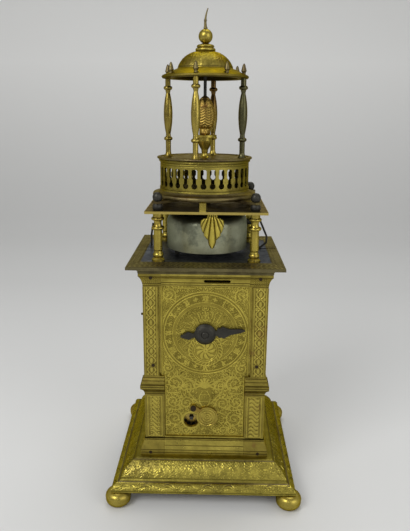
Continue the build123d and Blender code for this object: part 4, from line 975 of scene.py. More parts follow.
@dataclass
class Panels:
    """The engraved front with its dial, the two sides and the back door.

    Attributes:
        outline: the tower's levels.
        step: how far apart the points of the front are.
        wide: half the width above the waist.
        narrow: half the width below it.
        lift: how far the ground stands off the solid.
        rise: how far the highest strokes stand off the ground.
        dial: the middle of the dial.
        rosette: the middle of the rosette under the hand.
        hole: the middle of the winding hole.
        hole_radius: its radius.
        pivot: where the shutter turns.
        arm: how far the middle of the shutter is from there.
        door_relief: half the width of the engraving on the door.
        numeral_ring: the radius on which the numerals stand.
        side_step: how far apart the points of the sides and the door are.
        side_rise: how far their highest strokes stand off the ground.
        volutes: middle, radius, start and way of each volute on the left half of the front.
        stems: the control points and half width of each stem between them.
        side_volutes: the volutes of the sides and the door.
    """

    outline: Outline = field(default_factory=Outline)
    step: float = 0.36
    wide: float = 32.15
    narrow: float = 29.85
    lift: float = 0.04
    rise: float = 0.38
    dial: Point = (0.0, 128.4)
    rosette: Point = (0.4, 115.2)
    hole: Point = (-10.0, 58.0)
    hole_radius: float = 5.65
    pivot: Point = (-8.4, 68.9)
    arm: float = 12.65
    door_relief: float = 19.6
    numeral_ring: float = 26.7
    side_step: float = 0.5
    side_rise: float = 0.45
    volutes: tuple = (
        ((-22.0, 88.5), 5.6, -60, 1),
        ((-11.0, 86.5), 4.2, 200, -1),
        ((-23.5, 74.0), 5.0, 80, -1),
        ((-13.5, 72.5), 4.6, -20, 1),
        ((-22.5, 59.5), 5.6, 60, -1),
        ((-21.0, 49.5), 3.2, 150, 1),
        ((-14.0, 50.0), 3.4, 20, -1),
        ((-26.3, 157.6), 4.6, -30, 1),
        ((-27.0, 101.2), 4.0, 40, -1),
        ((-16.5, 96.2), 3.6, 150, 1),
    )
    stems: tuple = (
        (((-1.5, 70), (-9, 76), (-13, 82), (-19, 94)), 0.54),
        (((-2, 84), (-7, 92), (-14, 93), (-24, 96)), 0.54),
        (((-3, 66), (-9, 66), (-15, 65), (-18, 60)), 0.48),
        (((-28, 68), (-25, 67), (-19, 66), (-16, 68)), 0.48),
        (((-29, 82), (-26, 80), (-22, 80), (-18, 82)), 0.48),
        (((-3, 55), (-7, 47), (-9, 50), (-10, 47)), 0.42),
        (((-22, 163), (-15, 162.5), (-8, 162.8), (-2, 163.2)), 0.42),
    )
    side_volutes: tuple = (
        ((-20.0, 150.0), 6.5, -40, 1),
        ((-19.0, 106.0), 6.5, 40, -1),
        ((-19.0, 86.0), 6.0, -40, 1),
        ((-17.0, 62.0), 6.5, 60, -1),
        ((-8.5, 76.0), 4.2, 160, -1),
        ((-8.0, 153.5), 4.2, 200, 1),
    )

    def skin(
        self, name: str, side: Side, field_: Relief, keep: Array, rise: Array | float
    ) -> Piece:
        """A relief that lies on one face of the tower.

        Each point is the face's middle, plus across times the way to its right, plus up
        times Z, plus the ground's lift and the relief along the way that the face looks.

        Args:
            name: the piece's name.
            side: the face.
            field_: the relief.
            keep: which quads stay.
            rise: how high the highest strokes are, in all or at each point.

        Returns:
            The new object.
        """
        out = np.array([*side.value, 0.0])
        right = np.array([-side.value[1], side.value[0], 0.0])
        off = self.outline.panel_face + self.lift + field_.height * rise
        flat = field_.across[..., None] * right + field_.up[..., None] * np.array([0, 0, 1.0])
        points = (flat + off[..., None] * out).reshape(-1, 3)
        sunk = (flat + (self.outline.panel_face - 0.4) * out).reshape(-1, 3)
        quads = grid_quads(*field_.across.shape)[keep.ravel()]
        points, quads, old = with_skirt(points, facing_out(points, quads, out), sunk)
        return mesh_piece(name, points, quads, relief=field_.height.reshape(-1)[old])

    def field(self, step: float, low: float, high: float) -> Relief:
        """An empty field over a panel, between two heights."""
        across = np.linspace(-self.wide, self.wide, int(2 * self.wide / step) + 1)
        up = np.linspace(low, high, int((high - low) / step) + 1)
        return Relief(*np.meshgrid(across, up))

    def panel_mask(self, field_: Relief) -> Array:
        """Which quads lie in the panel's outline, which is narrower below the waist."""
        across = np.abs(field_.across[:-1, :-1] + field_.across[1:, 1:]) / 2
        up = (field_.up[:-1, :-1] + field_.up[1:, 1:]) / 2
        return (up > self.outline.waist_top + 0.1) | (across < self.narrow)

    def numerals(self, field_: Relief) -> None:
        """Twelve plain Roman numerals round the dial, each of straight strokes."""
        strokes = {
            "I": ([((0, -1.9), (0, 1.9))], 1.05),
            "V": ([((-0.8, 1.9), (0, -1.9)), ((0.8, 1.9), (0, -1.9))], 2.0),
            "X": ([((-0.8, 1.9), (0.8, -1.9)), ((0.8, 1.9), (-0.8, -1.9))], 2.0),
        }
        names = ("XII", "I", "II", "III", "IIII", "V", "VI", "VII", "VIII", "IX", "X", "XI")
        for hour, letters in enumerate(names):
            turn = math.radians(90 - 30 * hour)
            out = np.array([math.cos(turn), math.sin(turn)])
            right = np.array([out[1], -out[0]])
            middle = np.array(self.dial) + self.numeral_ring * out
            along = -sum(strokes[letter][1] for letter in letters) / 2
            for letter in letters:
                lines, width = strokes[letter]
                for start, end in lines:
                    ends = [
                        middle + (along + width / 2 + p[0]) * right + p[1] * out
                        for p in (start, end)
                    ]
                    field_.stroke(np.linspace(ends[0], ends[1], 16), 0.36, 0.95)
                along += width

    def dial_relief(self, field_: Relief) -> None:
        """Rings, numerals, a centre of thin rays and the rosette under the hand."""
        aside, above = field_.across - self.dial[0], field_.up - self.dial[1]
        away, angle = np.hypot(aside, above), np.arctan2(above, aside)
        field_.clear(away < 31.9)
        field_.tendrils(away < 21.0, 1.25, 5, 0.5)
        for number in range(36):
            turn = math.radians(10 * number + 5)
            reach = 19.6 if number % 2 else 16.5
            tip, bow, root = (
                (
                    self.dial[0] + far * math.cos(turn - lean),
                    self.dial[1] + far * math.sin(turn - lean),
                )
                for far, lean in ((reach, 0.0), (reach - 4.5, 0.14), (8.0, 0.0))
            )
            field_.stroke(bend([root, bow, bow, tip], 24), leaf_width(0.34, 24), 0.7)
        edge = np.clip(np.abs(np.sin(60 * angle)) * 1.4 - 0.7, 0, 1) * 0.5
        field_.height = np.where((away > 29.9) & (away < 31.2), edge, field_.height)
        field_.tendrils((away > 24.0) & (away < 29.4), 1.1, 8, 0.42)
        for number in range(12):
            turn = math.radians(15 + 30 * number)
            middle = (
                self.dial[0] + self.numeral_ring * math.cos(turn),
                self.dial[1] + self.numeral_ring * math.sin(turn),
            )
            for way in range(4):
                lean = turn + way * math.pi / 2
                tip = (middle[0] + 1.3 * math.cos(lean), middle[1] + 1.3 * math.sin(lean))
                field_.stroke(np.linspace(middle, tip, 8), 0.42, 0.85)
        for radius, width, rise in (
            (31.6, 0.4, 1.0), (29.7, 0.35, 0.9), (23.6, 0.32, 0.8), (21.4, 0.3, 0.6)
        ):
            field_.ring(self.dial, radius, width, rise)
        self.numerals(field_)
        near = np.hypot(field_.across - self.rosette[0], field_.up - self.rosette[1])
        turn = np.arctan2(field_.up - self.rosette[1], field_.across - self.rosette[0])
        field_.clear(near < 12.0)
        for number in range(9):
            lean = math.radians(40 * number + 10)
            tip = (self.rosette[0] + 7.3 * math.cos(lean), self.rosette[1] + 7.3 * math.sin(lean))
            root = (
                self.rosette[0] + 1.8 * math.cos(lean - 0.5),
                self.rosette[1] + 1.8 * math.sin(lean - 0.5),
            )
            bow = (
                self.rosette[0] + 5.2 * math.cos(lean - 0.35),
                self.rosette[1] + 5.2 * math.sin(lean - 0.35),
            )
            field_.stroke(bend([root, bow, bow, tip], 24), leaf_width(1.35, 24), 0.8)
        crescent = (near > 9.9) & (near < 12.0)
        leaf = np.clip(np.abs(np.sin(14 * turn + near)) * 1.4 - 0.5, 0, 1) * 0.6
        field_.height = np.where(crescent, leaf, field_.height)
        for radius, width in ((9.4, 0.35), (8.2, 0.3), (1.1, 0.8), (12.2, 0.3)):
            field_.ring(self.rosette, radius, width, 0.95)

    def front(self) -> Piece:
        """The front: acanthus round an urn below, the dial above, scrolls in its corners."""
        level = self.outline
        field_ = self.field(self.step, level.panel_bottom + 0.1, level.shaft_top - 0.1)
        field_.tendrils(np.ones_like(field_.up, bool), 1.35, 11, 0.6)
        for centre, radius, start, way in self.volutes:
            acanthus(field_, centre, radius, start, way)
        for points, width in self.stems:
            field_.both(bend(points), leaf_width(width))
        self.urn(field_)
        sideways, upright = 1.7 * np.sin(1.25 * field_.across), 0.8 * np.sin(0.9 * field_.up)
        cuts = np.abs(np.sin(2.3 * field_.up + sideways + upright))
        field_.height = field_.height * (0.58 + 0.42 * np.clip(cuts * 1.5, 0, 1))
        self.dial_relief(field_)
        aside = np.abs(field_.across)
        upper = field_.up > level.waist_top
        field_.clear(aside > np.where(upper, 30.9, 28.7))
        field_.clear(field_.up < 46.6)
        edge = np.where(upper, 31.5, 29.2)
        field_.height = np.maximum(field_.height, ridge(np.abs(aside - edge), 0.4) * 0.9)
        field_.height = np.maximum(field_.height, ridge(np.abs(field_.up - 46.0), 0.4) * 0.8)
        notch = (np.abs(field_.across - 2.3) < 0.5) & (field_.up > 47.0) & (field_.up < 53.4)
        field_.clear(notch)
        keep = self.panel_mask(field_) & self.around_hole(field_)
        rise = self.rise * self.under_shutter(field_)
        return self.skin("front_engraving", Side.FRONT, field_, keep, rise)

    def urn(self, field_: Relief) -> None:
        """A plain urn with a palmette over it, in the middle of the lower field."""
        inside = np.hypot(field_.across / 5.4, (field_.up - 79.5) / 9.0) < 1
        field_.clear(inside)
        fan(field_, (0.0, 84.0), 9.6, 9, 150, 0.75)
        up = np.linspace(69.5, 82.5, 60)
        half = 1.2 + 2.9 * np.clip(np.sin((up - 69.5) / 13.0 * np.pi), 0, 1) ** 0.8
        field_.both(np.stack([half, up], -1), 0.42)
        for height, half in ((82.6, 2.6), (79.6, 3.6), (73.6, 3.2), (69.4, 1.8)):
            ends = np.linspace((-half, height), (half, height), 24)
            field_.stroke(ends, 0.38, 0.9)
        for aside in (0.0, 1.3, 2.5):
            rib = [(aside * 0.3, 70.4), (aside, 73.5), (aside, 76.5), (aside, 79.0)]
            field_.both(bend(rib, 16), 0.3, 0.7)

    def around_hole(self, field_: Relief) -> Array:
        """Which quads lie outside the winding hole, whose nearest points move onto its rim."""
        aside, above = field_.across - self.hole[0], field_.up - self.hole[1]
        away = np.hypot(aside, above)
        near = np.abs(away - self.hole_radius) < self.step * 0.55
        pull = np.where(near, self.hole_radius / np.maximum(away, 1e-6), 1.0)
        field_.across = self.hole[0] + aside * pull
        field_.up = self.hole[1] + above * pull
        field_.clear(np.abs(away - 6.6) < 0.55, 0.7)
        field_.clear(away < 6.1, 0.0)
        middle = (away[:-1, :-1] + away[1:, 1:] + away[:-1, 1:] + away[1:, :-1]) / 4
        arbor = np.hypot(field_.across - self.dial[0], field_.up - self.dial[1])[:-1, :-1] > 2.4
        return (middle > self.hole_radius) & arbor

    def under_shutter(self, field_: Relief) -> Array:
        """The share of its height that the relief keeps, low where the shutter swings over it."""
        aside, above = field_.across - self.pivot[0], field_.up - self.pivot[1]
        away, angle = np.hypot(aside, above), np.degrees(np.arctan2(above, aside))
        swept = (np.abs(away - self.arm) < 8.9) & (angle < 8.0)
        swept |= away < 5.2
        return np.where(swept, 0.26, 1.0)

    def plain_side(self, side: Side, narrow: float, seed: int) -> tuple[Relief, Array]:
        """A side's relief: an oval medallion with a rosette, scrolls and a double border.

        Args:
            side: the face.
            narrow: half the width of the part below the waist.
            seed: which filling it has.

        Returns:
            The relief and the quads that stay.
        """
        level = self.outline
        field_ = self.field(self.side_step, level.panel_bottom + 0.4, level.shaft_top - 0.2)
        field_.tendrils(np.ones_like(field_.up, bool), 2.0, seed, 0.55)
        for centre, radius, start, way in self.side_volutes:
            acanthus(field_, centre, radius, start, way)
        fan(field_, (0.0, 52.0), 14.0, 9, 150, 0.9)
        oval = np.hypot(field_.across / 15.0, (field_.up - 128.0) / 19.0)
        field_.clear(oval < 1.12)
        for share in (1.1, 0.98):
            field_.height = np.maximum(field_.height, ridge(np.abs(oval - share) * 15, 0.5) * 0.95)
        for turn in range(12):
            angle = math.radians(30 * turn)
            tip = (11.5 * math.cos(angle), 128 + 14.5 * math.sin(angle))
            knee = (tip[0] * 0.5, 128 + (tip[1] - 128) * 0.4)
            petal = bend([(0, 128.0), knee, tip, tip], 24)
            field_.stroke(petal, leaf_width(1.3, 24), 0.85)
        field_.ring((0.0, 128.0), 2.0, 0.9)
        aside = np.abs(field_.across)
        upper = field_.up > level.waist_top
        edge = np.where(upper, self.wide, narrow) - 1.2
        field_.clear(aside > edge - 1.8)
        for inset in (0.0, 1.2):
            field_.height = np.maximum(
                field_.height, ridge(np.abs(aside - edge + inset), 0.36) * 0.9
            )
        for place in (level.panel_bottom + 1.4, level.shaft_top - 1.2):
            field_.height = np.maximum(field_.height, ridge(np.abs(field_.up - place), 0.45) * 0.9)
        across = np.abs(field_.across[:-1, :-1] + field_.across[1:, 1:]) / 2
        up = (field_.up[:-1, :-1] + field_.up[1:, 1:]) / 2
        log.info("drew the relief of the %s side", side.name.lower())
        return field_, (up > level.waist_top + 0.1) | (across < narrow)

    def build(self, wardrobe: Wardrobe) -> None:
        """Makes the four faces and dresses the panels under them."""
        wardrobe.piece(self.front(), "case", GILT)
        for name, side in (("left_engraving", Side.LEFT), ("right_engraving", Side.RIGHT)):
            field_, keep = self.plain_side(side, self.narrow, 21)
            made = self.skin(name, side, field_, keep, self.side_rise)
            wardrobe.piece(made, "case", SIDES)
        field_, _ = self.plain_side(Side.BACK, 28.2, 34)
        across = np.abs(field_.across[:-1, :-1] + field_.across[1:, 1:]) / 2
        aside = np.abs(field_.across)
        field_.clear(aside > self.door_relief - 2.6)
        for inset in (0.6, 1.8):
            border = ridge(np.abs(aside - self.door_relief + inset), 0.36) * 0.9
            field_.height = np.maximum(field_.height, border)
        keep = across < self.door_relief
        made = self.skin("door_engraving", Side.BACK, field_, keep, self.side_rise)
        wardrobe.piece(made, "back_door_group", SIDES)
        wardrobe.solid(GILT_PLAIN, "front_panel")
        wardrobe.solid(AGED, "left_panel", "right_panel", "back_door")


@dataclass
class Posts:
    """Engraved skins on the four corner posts, each round its corner from edge to edge.

    Attributes:
        outline: the tower's levels.
        post_edge: how far from the middle the skin starts, below the waist.
        shaft_edge: the same beside the shaft.
        capital_edge: the same over the shaft.
        lift: how far the ground stands off the solid.
        rise: how far the highest strokes stand off the ground.
        shaft_middle: the middle of the shaft's strands.
        lens_pitch: the height of one lens.
        die_middle: the middle of the die below the waist.
        strand_pitch: the height of one strand of the rope.
        corner_columns: how many columns of points one face has.
        plain_columns: how many of them a back post leaves out beside the door.
        side_pin_place: where the loose pin is, along Y and Z.
        pins: where the iron pins come through, so that the ground stays flat.
    """

    outline: Outline = field(default_factory=Outline)
    post_edge: float = 30.1
    shaft_edge: float = 33.9
    capital_edge: float = 31.6
    lift: float = 0.07
    rise: float = 0.34
    shaft_middle: float = 39.2
    lens_pitch: float = 7.4
    die_middle: Point = (37.3, 61.75)
    strand_pitch: float = 3.3
    corner_columns: int = 37
    plain_columns: int = 14
    side_pin_place: Point = (-38.0, 141.0)
    pins: tuple[Point, ...] = ((38.0, 103.4), (38.6, 171.2), (40.6, 33.2))

    def pattern(self, across: Array, up: Array, lower: Pattern) -> Array:
        """The engraving of one face of a post.

        The shaft has two strands at the middle plus and minus a cosine of the height, with a
        lens in each eye and buds between them. The rope's strands are level lines of the
        height plus a sine of the sideways place.

        Args:
            across: how far each point is from the middle of the tower.
            up: its height.
            lower: what the die below the waist has.

        Returns:
            The relief, from 0 to 1.
        """
        level = self.outline
        pitch, twist = self.lens_pitch, self.strand_pitch
        step = (up / pitch) % 1.0 - 0.5
        away = np.abs(across - self.shaft_middle)
        swing = 2.9 * np.abs(np.cos(np.pi * step))
        strands = ridge(np.abs(away - swing), 0.5)
        lens = ridge(np.hypot(away / 1.15, step * pitch / 2.5), 1.0) * 0.9
        buds = ridge(np.hypot((away - 2.7) / 0.9, (np.abs(step) - 0.5) * pitch / 1.5), 1.0) * 0.8
        cuts = np.clip(np.abs(np.sin(2.2 * up + 1.6 * away)) * 1.4 - 0.7, 0, 1)
        veins = cuts * 0.4 * (away > 1.6) * (away < 3.7)
        rim = ridge(np.abs(away - 4.3), 0.34) * 0.9
        shaft = np.maximum.reduce([strands, lens, buds, veins, rim])
        centre, half_way = self.die_middle
        inside = np.abs(across - centre) < 4.6
        rel = (across - centre) * (1 if lower is Pattern.ROPE else -1)
        curve = ((up + 1.7 * np.sin(rel * 0.72)) / twist) % 1.0
        body = ridge((curve - 0.5) * twist, 1.3) * (np.abs(rel) < 3.7) * 0.95
        body = np.maximum(body, ridge((curve - 0.02) * twist, 0.3) * 0.6 * (np.abs(rel) < 3.7))
        if lower is Pattern.SCROLL:
            knob = np.hypot(np.abs(rel) - 2.7, ((up / twist) % 1 - 0.5) * twist)
            body = np.maximum(body * (knob > 1.2), ridge(knob, 0.85))
        frame_line = ridge(np.abs(np.abs(across - centre) - 5.3), 0.45)
        die = np.maximum(body * inside, frame_line)
        ends = ridge(np.abs(np.abs(up - half_way) - 16.6), 0.45) * (np.abs(across - centre) < 5.6)
        die = np.where(np.abs(up - half_way) > 16.2, ends, die)
        hatch = np.clip(np.sin(2.1 * (up + across)) * np.sin(2.1 * (up - across)) * 1.6, 0, 1) * 0.6
        drawn = np.where((up > level.waist_top + 0.8) & (up < level.shaft_top - 0.6), shaft, 0.0)
        drawn = np.where((up > level.plinth_top + 0.6) & (up < level.die_top - 0.6), die, drawn)
        drawn = np.where((up > level.shaft_top + 1.0) & (up < level.post_top - 2.4), hatch, drawn)
        for pin in self.pins:
            drawn = np.where(np.hypot(across - pin[0], up - pin[1]) < 1.9, 0.0, drawn)
        inner = np.where(up > level.waist_top, 34.2, 30.9)
        return drawn * (across < level.half - 0.25) * (across > inner)

    def skin(self, name: str, sign_x: int, sign_y: int, lower: Pattern) -> Piece:
        """One post's skin: the profile carried from one edge to the corner and to the other.

        The back posts stay plain beside the door, which comes there when it is open.

        Args:
            name: the piece's name.
            sign_x: which side of the tower.
            sign_y: whether it stands at the front or the back.
            lower: the engraving of its die.

        Returns:
            The new object.
        """
        level = self.outline
        line = level.profile()
        out, up = line[:, 0] + self.lift, line[:, 1]
        edge = np.where(up < level.waist_top + 0.05, self.post_edge, self.shaft_edge)
        edge = np.where(up > level.shaft_top, self.capital_edge, edge)
        share = np.linspace(0, 1, self.corner_columns)
        across = edge[:, None] + share * (out - edge)[:, None]
        height = np.broadcast_to(up[:, None], across.shape)
        drawn = self.pattern(across, height, lower)
        bulge = out[:, None] + drawn * self.rise
        first = np.stack([across, bulge, height], -1)
        second = np.stack([bulge, across, height], -1)[:, ::-1]
        plain = self.plain_columns if sign_y > 0 else 0
        points = np.concatenate([first[:, plain:], second[:, 1:]], axis=1)
        relief = np.concatenate([drawn[:, plain:], drawn[:, ::-1][:, 1:]], axis=1)
        rows, columns = relief.shape
        points = points.reshape(-1, 3) * np.array([sign_x, sign_y, 1.0])
        away = points * np.array([1.0, 1.0, 0.0])
        quads = facing_out(points, grid_quads(rows, columns), away)
        inward = np.array([sign_x, sign_y, 0.0]) * 0.45
        points, quads, old = with_skirt(points, quads, points - inward)
        return mesh_piece(name, points, quads, relief=relief.reshape(-1)[old])

    def build(self, wardrobe: Wardrobe) -> None:
        """Makes the four skins and dresses the posts and rails."""
        for name, x, y, lower, finish in (
            ("post_engraving_front_left", -1, -1, Pattern.SCROLL, GILT_POST),
            ("post_engraving_front_right", 1, -1, Pattern.ROPE, GILT_POST),
            ("post_engraving_back_left", -1, 1, Pattern.ROPE, SIDES),
            ("post_engraving_back_right", 1, 1, Pattern.SCROLL, SIDES),
        ):
            wardrobe.piece(self.skin(name, x, y, lower), "case", finish)
        wardrobe.solid(GILT_PLAIN, "corner_post_front_left", "corner_post_front_right")
        wardrobe.solid(AGED, "corner_post_back_left", "corner_post_back_right")
        wardrobe.solid(GILT_RULED, "plinth_rails", "frieze_rails")
        wardrobe.solid(PIN, "case_pins")
        wardrobe.piece(self.side_pin(), "case", PIN)

    def side_pin(self) -> Piece:
        """The loose iron pin that stands out of the left front post: a turned profile."""
        line = sampled([(0.9, 0.0), (0.9, 1.9), ((0.75, 2.4), (0.2, 2.55))], 0.3)
        loops = turned_loops(line, 20)
        y, z = self.side_pin_place
        out = -self.outline.half - loops[..., 2] + 0.2
        return loft("side_pin", np.stack([out, loops[..., 0] + y, loops[..., 1] + z], -1))


@dataclass
class Mouldings:
    """The engraved base under the tower and the cornice frame over it."""

    lift: float = 0.07
    rise: float = 0.42
    slot_middle: float = 7.7
    slot_half: float = 1.5
    slot_reach: Point = (36.0, 53.8)
    base_line: tuple = (
        (68.0, 11.4), (68.0, 12.7), ((66.6, 15.59), (62.3, 18.0)), (61.4, 18.9),
        ((58.2, 24.9), (51.6, 30.8)), (48.1, 30.8),
    )
    base_columns: int = 250
    leaf_pitch: float = 5.2
    cornice_line: tuple = (
        (47.55, 174.1), ((48.15, 176.8), (50.0, 178.55)), (55.1, 178.55), (55.1, 180.4),
        (46.9, 180.4),
    )
    cornice_columns: int = 216

    def ring(
        self, name: str, across: Array, deep: Array, up: Array, drawn: Array, count: int, slot: bool
    ) -> Piece:
        """A profile carried round a rectangle, mitred at its corners.

        On each side the place runs from -1 to 1 times the half width there, so the columns
        meet at the corners, and the relief pushes along the profile's normal.

        Args:
            name: the piece's name.
            across: half the width at each point of the profile.
            deep: half the depth there.
            up: the height there.
            drawn: the relief, with a row for each point of the profile.
            count: columns on one side.
            slot: whether the hammer's slot is left open.

        Returns:
            The new object.
        """
        normal = profile_normals(np.stack([across, up], -1))
        push = self.lift + drawn * self.rise
        share = np.linspace(-1, 1, count, endpoint=False)
        wide = across[:, None] + normal[:, :1] * push
        long = deep[:, None] + normal[:, :1] * push
        high = up[:, None] + normal[:, 1:] * push
        sides = [
            np.stack([share * wide, -long, high], -1),
            np.stack([wide, share * long, high], -1),
            np.stack([-share * wide, long, high], -1),
            np.stack([-wide, -share * long, high], -1),
        ]
        points = np.concatenate(sides, axis=1)
        relief = np.concatenate([drawn] * 4, axis=1)
        rows, columns = relief.shape
        points = points.reshape(-1, 3)
        quads = grid_quads(rows, columns, closed=True)
        centre = points[quads].mean(1)
        if slot:
            low, high = self.slot_reach
            open_ = (centre[:, 0] > low) & (centre[:, 0] < high)
            open_ &= np.abs(centre[:, 1] - self.slot_middle) < self.slot_half
            quads = quads[~open_]
        lean = np.repeat(normal[:, None, :], columns, axis=1).reshape(-1, 2)
        outward = np.concatenate([points[:, :2] * lean[:, :1] / 50.0, lean[:, 1:]], axis=1)
        quads = facing_out(points, quads, outward)
        sunk = points - outward * 0.6
        points, quads, old = with_skirt(points, quads, sunk)
        return mesh_piece(name, points, quads, relief=relief.reshape(-1)[old], sharp=50)

    def base(self) -> Piece:
        """The base: a bottom fillet, a torus with a leaf band and an ovolo with fine leaves.

        The leaves are veins at height plus the distance from the nearest leaf's middle, with
        two crossing sets of cuts that are sines of both. The band is a sine wave with a curl
        in each bow, and scales that are sines of the way along.
        """
        line = sampled(self.base_line, 0.45)
        count = self.base_columns
        share = np.linspace(-1, 1, count, endpoint=False)
        along = share * line[:, :1]
        up = np.broadcast_to(line[:, 1:], along.shape)
        apart = np.abs(((along / self.leaf_pitch) % 1.0) - 0.5) * self.leaf_pitch
        veins = np.clip(np.sin((up * 0.62 + apart * 1.25) * 4.3) * 1.6, 0, 1) * 0.75
        wander = 0.55 + 0.45 * np.sin(
            along * 0.9 + 2.0 * np.sin(up * 0.7)
        ) * np.sin(along * 0.23 + 1.0)
        stem = ridge(apart, 0.34) * 0.9
        cuts = np.abs(np.sin(up * 1.9 + apart * 2.3 + 1.3 * np.sin(along * 0.55)))
        cross = np.abs(np.sin(up * 1.1 - along * 2.9 + 1.5 * np.sin(up * 0.8)))
        leafed = np.maximum(stem * 0.5, veins * np.clip(wander, 0.15, 1))
        long_leaves = np.maximum(
            leafed, 0.12 + 0.85 * np.clip(cuts * 1.3, 0, 1) * np.clip(cross * 1.6, 0, 1)
        )
        wave = 15.3 + 1.2 * np.sin(2 * np.pi * along / 15.0)
        strand = ridge(np.abs(up - wave), 0.42)
        turn = np.hypot(((along / 7.5) % 1 - 0.5) * 7.5, up - 30.6 + wave)
        curls = ridge(np.abs(turn - 1.0), 0.35) * 0.8
        ticks = np.clip(np.sin(along * 3.9) * 1.5, 0, 1) * 0.7 * (
            np.abs(np.sin(2 * np.pi * along / 45.0)) > 0.9
        )
        scales = 0.45 + 0.4 * np.clip(
            np.abs(np.sin(along * 1.7 + 1.4 * np.sin(up * 1.6))) * 1.4, 0, 1
        )
        band = np.maximum.reduce([strand, curls, ticks, scales * (np.abs(up - wave) > 0.7)])
        drawn = np.where((up > 19.6) & (up < 29.6), np.clip(long_leaves, 0, 1), 0.0)
        drawn = np.where((up > 13.3) & (up < 17.5), band, drawn)
        drawn = np.where(line[:, :1] < 51.3, 0.0, drawn)
        drawn = np.where(np.abs(up - 12.0) < 0.5, 0.7, drawn)
        return self.ring("base_engraving", line[:, 0], line[:, 0], line[:, 1], drawn, count, False)

    def cornice(self) -> Piece:
        """The cornice: a ruled cavetto, a plate edge and an engraved border on top."""
        line = sampled(self.cornice_line, 0.45)
        count = self.cornice_columns
        share = np.linspace(-1, 1, count, endpoint=False)
        across, up = line[:, 0], line[:, 1]
        inner = np.clip((55.1 - across) / 8.2, 0, 1) * (up > 180.3)
        deep = across - inner * 8.8
        along = share * across[:, None]
        inset = (55.1 - across)[:, None] + inner[:, None] * 4
        top = (up > 180.3)[:, None] & (across < 54.3)[:, None] & (across > 47.6)[:, None]
        scroll = np.clip(
            np.abs(np.sin(along * 0.9 + 1.6 * np.sin(inset * 1.1))) * 1.5 - 0.5, 0, 1
        ) * 0.8
        cove = (np.abs(((up - 174.4) / 1.5) % 1 - 0.5) < 0.2) & (up < 178) & (across < 50)
        drawn = np.where(top, scroll, np.where(cove[:, None], 0.6 + 0 * along, 0.0))
        return self.ring("cornice_engraving", across, deep, up, drawn, count, True)

    def build(self, wardrobe: Wardrobe) -> None:
        """Makes both rings and dresses the solids under them."""
        wardrobe.piece(self.base(), "case", BASE)
        wardrobe.piece(self.cornice(), "case", BORDER)
        wardrobe.solid(AGED, "base_moulding", "cornice_plate")
        wardrobe.solid(CANOPY, "canopy_plate")
        wardrobe.solid(GILT_PLAIN, "bun_feet")


